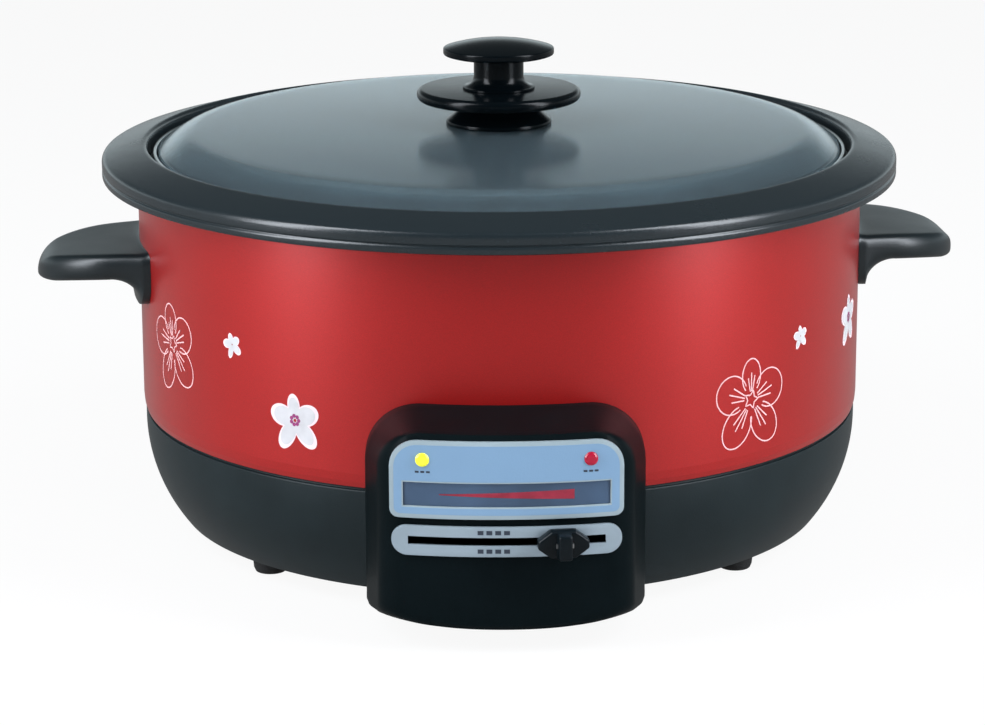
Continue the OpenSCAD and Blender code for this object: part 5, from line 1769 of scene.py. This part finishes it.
    def track_ticks(self) -> None:
        """Ticks above and below the middle of the slot."""
        box = Extent.of("slide_track")
        spots = [(x, box.middle.z + side * self.tick_rise) for x in self.tick_places for side in (-1, 1)]
        self.marks("track_ticks", spots, self.tick, box.front + 0.05 * MM)


@dataclass
class Slider:
    """Slider knob on its lever and shaft."""

    width: float = 17.7 * MM
    height: float = 9.6 * MM
    reach: float = 9.5 * MM
    gap: float = 0.3 * MM
    ridge_w: float = 4.6 * MM
    ridge_flare: float = 0.35
    ridge_crown: float = 0.10
    slope: float = 4.6 * MM
    end_h: float = 2.7 * MM

    def build(self) -> None:
        """Makes the knob and dresses the lever and the shaft."""
        box = Extent.of("slider_knob")
        track = Extent.of("slide_track")
        rest = math.atan2(box.middle.x, -box.middle.y)
        near, tip, z = track.front + self.gap, track.front + self.reach, track.middle.z
        half_w, half_h, end = self.width / 2, self.height / 2, self.end_h / 2
        flat = half_w - self.slope
        plan = [(flat, -half_h), (half_w, -end), (half_w, end), (flat, half_h),
                (-flat, half_h), (-half_w, end), (-half_w, -end), (-flat, -half_h)]
        outline = fillet([(x, y, 1.2 * MM) for x, y in plan])
        rows = [[Vector((x, -d, z + y)) for x, y in outline] for d in (near, near + self.reach * 0.5)]
        body = with_modifiers(sweep_rows("body", rows, round_row=True, ends=True), bevel(0.9 * MM, 4))
        ridge = with_modifiers(self.ridge(near, tip, half_h, z), bevel(0.7 * MM, 3))
        mesh = moved(joined("slider", [body, ridge]), Matrix.Rotation(rest, 4, "Z"))
        piece("slide_knob", mesh, Body.SLIDER, "slider_plastic", SLIDER_PLASTIC, "slider_knob")
        dress("slide_lever", LEVER_STEEL)
        dress("thermostat_shaft", BRASS)

    def ridge(self, near: float, tip: float, half_h: float, z: float) -> Mesh:
        """Grip ridge across the knob, which narrows towards its tip.

        Args:
            near: depth of its foot.
            tip: depth of its tip.
            half_h: half of its height.
            z: height of its middle.

        Returns:
            The mesh, a closed solid.
        """
        rows = []
        steps = 6
        for share in (i / steps for i in range(steps + 1)):
            d = near + (tip - near) * share
            flare = self.ridge_flare
            half = self.ridge_w / 2 * (1 + flare - flare * math.sin(math.pi / 2 * share))
            tall = half_h * (1 - self.ridge_crown * share**2)
            loop = (half, -tall), (half, tall), (-half, tall), (-half, -tall)
            rows.append([Vector((x, -d, z + y)) for x, y in loop])
        return sweep_rows("ridge", rows, round_row=True, ends=True)


@dataclass
class Heater:
    """Heater plate, its sprung sensor and the parts below it."""

    bore_room: float = 1.3 * MM
    element_r: float = 50.0 * MM
    groove_r: float = 3.6 * MM
    can_t: float = 1.0 * MM
    wire_r: float = 0.6 * MM
    turns: float = 5.0

    def build(self) -> None:
        """Makes what shows in the open well and dresses the rest."""
        self.plate()
        self.can()
        self.spring()
        for node, finish in (
            ("heating_element", SHEATH), ("heater_spacers", SCREW_STEEL), ("heater_screws", SCREW_STEEL),
            ("sensor_guide", LINER_STEEL), ("thermal_fuse", CERAMIC), ("thermostat_body", CERAMIC),
            ("thermostat_bracket", SCREW_STEEL), ("handle_screws", SCREW_STEEL),
            ("housing_screws", SCREW_STEEL),
        ):
            dress(node, finish)

    def plate(self) -> None:
        """Cast plate with a machined face, a bevelled edge and a bore for the sensor."""
        low, high, r = Extent.of("heater_plate").turned
        bore = Extent.of("sensor_can").radius + self.bore_room
        edge = fillet([
            (bore, low, 0), (bore, high, 0.8 * MM), (r - 1 * MM, high, 0.6 * MM),
            (r, high - 1.2 * MM, 0.8 * MM), (r, low, 0.5 * MM), (self.element_r + self.groove_r, low, 0),
        ], closed=False)
        groove = arc((self.element_r, low), self.groove_r, 0, 180, 12)
        mesh = revolve("plate", edge + groove[1:])
        piece("heater_disc", mesh, Body.HOUSING, "heater_aluminium", HEATER_ALLOY, "heater_plate")

    def can(self) -> None:
        """Drawn sensor can with a rounded shoulder."""
        low, high, r = Extent.of("sensor_can").turned
        t = self.can_t
        outline = fillet([(r - t, low, 0), (r, low, 0), (r, high, 1.2 * MM), (0, high, 0)], closed=False)
        inside = [(0, high - t), (r - 2.2 * t, high - t), (r - t, high - 2 * t), (r - t, low)]
        mesh = revolve("can", outline + inside, closed=False, segments=96)
        piece("sensor_cap", mesh, Body.SENSOR, "sensor_steel", SENSOR_STEEL, "sensor_can")

    def spring(self) -> None:
        """Coil spring under the sensor, wound by a tree."""
        box = Extent.of("sensor_spring")
        wire = self.wire_r
        tree = ShapeTree("sensor_spring", Radius=box.high.x - wire, Wire=wire,
                         Tall=box.high.z - box.low.z - 2 * wire, Foot=box.low.z + wire)
        coil = tree.put("GeometryNodeCurveSpiral", {
            "Resolution": 40, "Rotations": self.turns, "Start Radius": tree.size("Radius"),
            "End Radius": tree.size("Radius"), "Height": tree.size("Tall"),
        })
        section = tree.put("GeometryNodeCurvePrimitiveCircle", {
            "Resolution": 10, "Radius": tree.size("Wire"),
        })
        wound = tree.put("GeometryNodeCurveToMesh", {
            "Curve": coil, "Profile Curve": section, "Fill Caps": True,
        })
        mesh = tree.grow(tree.placed(wound, Translation=tree.vector(z=tree.size("Foot"))), SCREW_STEEL)
        piece("sensor_coil", mesh, Body.SENSOR, "spring_steel", SCREW_STEEL, "sensor_spring")


def dress(node: str, finish: Finish) -> None:
    """Gives a CAD node that stays in view its finish."""
    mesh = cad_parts[node].data
    mesh.materials.clear()
    mesh.materials.append(finish.material())
    log.info("%s keeps its solid, in %s", node, finish.name)


# Studio


@dataclass(frozen=True)
class Softbox:
    """An area lamp that faces the cooker."""

    name: str
    azimuth: float
    elevation: float
    distance: float
    width: float
    height: float
    power: float
    mirrored: bool = True
    color: Color = (0.88, 0.93, 1.0)
    aim: float = 90.0 * MM

    def light(self) -> None:
        """Hangs the lamp."""
        data = bpy.data.lights.new(self.name, "AREA")
        data.shape = "RECTANGLE"
        data.size, data.size_y = self.width, self.height
        data.energy = self.power
        data.color = self.color
        lamp = bpy.data.objects.new(self.name, data)
        a, e = math.radians(self.azimuth), math.radians(self.elevation)
        way = Vector((math.sin(a) * math.cos(e), -math.cos(a) * math.cos(e), math.sin(e)))
        lamp.location = Vector((0, 0, self.aim)) + way * self.distance
        lamp.rotation_mode = "QUATERNION"
        lamp.rotation_quaternion = way.to_track_quat("Z", "Y")
        lamp.visible_glossy = self.mirrored
        bpy.context.scene.collection.objects.link(lamp)


@dataclass
class Studio:
    """White floor and backdrop, soft light and the camera."""

    lens: float = 123.30
    sensor: float = 36.0
    distance: float = 1.3031
    elevation: float = 15.0
    azimuth: float = -0.66
    roll: float = -0.231
    target: Corner = (-2.77 * MM, 0.03 * MM, 59.43 * MM)
    floor_size: float = 30.0
    floor_gray: float = 0.86
    floor_white: float = 0.92
    mirrored_white: float = 0.34
    front_level: float = 0.06
    back_level: float = 1.06
    top_level: float = 0.10
    turn_over: Point = (-0.45, 0.45)
    fade: Point = (0.10, 0.31)
    tint: Color = (0.84, 0.96, 1.0)
    softboxes: tuple[Softbox, ...] = (
        Softbox("left_box", -61, 29, 1.3, 0.42, 1.50, 23.0),
        Softbox("right_box", 61, 29, 1.3, 0.42, 1.50, 23.0),
        Softbox("top_box", 0, 62, 1.5, 1.2, 0.8, 4.0, mirrored=False),
    )

    def build(self) -> None:
        """Sets up the whole studio."""
        bpy.context.scene.view_settings.view_transform = "Standard"
        self.floor()
        self.world()
        for box in self.softboxes:
            box.light()
        self.camera()

    def shown(self, graph: Graph) -> Socket:
        """Plain floor as the camera and glossy pieces see it, over one that takes light and shadow."""
        path = graph.add("ShaderNodeLightPath").outputs
        mirrored = graph.math("ADD", path["Is Glossy Ray"], path["Is Transmission Ray"])
        seen = graph.math("MULTIPLY", path["Is Camera Ray"], self.floor_white)
        share = graph.math("MAXIMUM", graph.math("MINIMUM", mirrored, 1.0), seen)
        level = graph.math("MAXIMUM", path["Is Camera Ray"], self.mirrored_white)
        matt = graph.put("ShaderNodeBsdfDiffuse", {"Color": (*[self.floor_gray] * 3, 1)})
        white = graph.put("ShaderNodeEmission", {"Color": (1, 1, 1, 1), "Strength": level})
        return graph.put("ShaderNodeMixShader", {0: share, 1: matt, 2: white})

    def floor(self) -> None:
        """Pale floor that keeps a soft shadow."""
        bm = bmesh.new()
        bmesh.ops.create_grid(bm, x_segments=1, y_segments=1, size=self.floor_size / 2)
        ground = bpy.data.objects.new("floor", settle(bm, "floor", recalculate=False))
        bpy.context.scene.collection.objects.link(ground)
        made = bpy.data.materials.new("floor_white")
        made.use_nodes = True
        graph = Graph(made.node_tree)
        graph.tree.nodes.clear()
        graph.add("ShaderNodeOutputMaterial", {"Surface": self.shown(graph)})
        ground.data.materials.append(made)

    def world(self) -> None:
        """White backdrop that fades upwards and towards the camera's side."""
        world = bpy.data.worlds.new("studio")
        bpy.context.scene.world = world
        world.use_nodes = True
        graph = Graph(world.node_tree)
        graph.tree.nodes.clear()
        _, y, z = graph.parts(graph.add("ShaderNodeTexCoord").outputs["Generated"])
        levels = []
        for value, (start, end), first, last in ((y, self.turn_over, self.front_level, self.back_level),
                                                 (z, self.fade, 1.0, self.top_level)):
            levels.append(graph.put("ShaderNodeMapRange", {
                "Value": value, "From Min": start, "From Max": end, "To Min": first, "To Max": last,
            }, interpolation_type="SMOOTHSTEP"))
        camera = graph.add("ShaderNodeLightPath").outputs["Is Camera Ray"]
        level = {"Factor": camera, "A": graph.math("MULTIPLY", *levels), "B": 1.0}
        strength = graph.put("ShaderNodeMix", level, data_type="FLOAT")
        white = {"Factor": camera, "A": (*self.tint, 1), "B": (1, 1, 1, 1)}
        color = graph.add("ShaderNodeMix", white, data_type="RGBA").outputs["Result"]
        light = graph.put("ShaderNodeBackground", {"Color": color, "Strength": strength})
        graph.add("ShaderNodeOutputWorld", {"Surface": light})

    def camera(self) -> None:
        """Camera at the photograph's viewing angle."""
        data = bpy.data.cameras.new("camera")
        data.lens, data.sensor_width = self.lens, self.sensor
        data.clip_start, data.clip_end = 0.05, 100.0
        e, lean = math.radians(self.elevation), math.radians(self.roll)
        ahead = Vector((0, math.cos(e), -math.sin(e)))
        right = Vector((1, 0, 0))
        up = right.cross(ahead)
        across = right * math.cos(lean) + up * math.sin(lean)
        upright = up * math.cos(lean) - right * math.sin(lean)
        axes = Matrix((across, upright, -ahead)).transposed()
        turn = Matrix.Rotation(math.radians(self.azimuth), 3, "Z")
        made = bpy.data.objects.new("camera", data)
        place = Vector(self.target) - turn @ ahead * self.distance
        made.matrix_world = Matrix.Translation(place) @ (turn @ axes).to_4x4()
        bpy.context.scene.collection.objects.link(made)
        bpy.context.scene.camera = made


def main() -> None:
    """Builds the studio and the cooker's sub-assemblies in order."""
    logging.basicConfig(level=logging.INFO, format="%(name)s: %(message)s")
    parts = Studio(), Base(), Shell(), Handles(), ControlBox(), Panel(), Slider(), Heater(), Pan(), Lid()
    for part in parts:
        log.info("building %s", type(part).__name__)
        part.build()


if __name__ == "__main__":
    main()
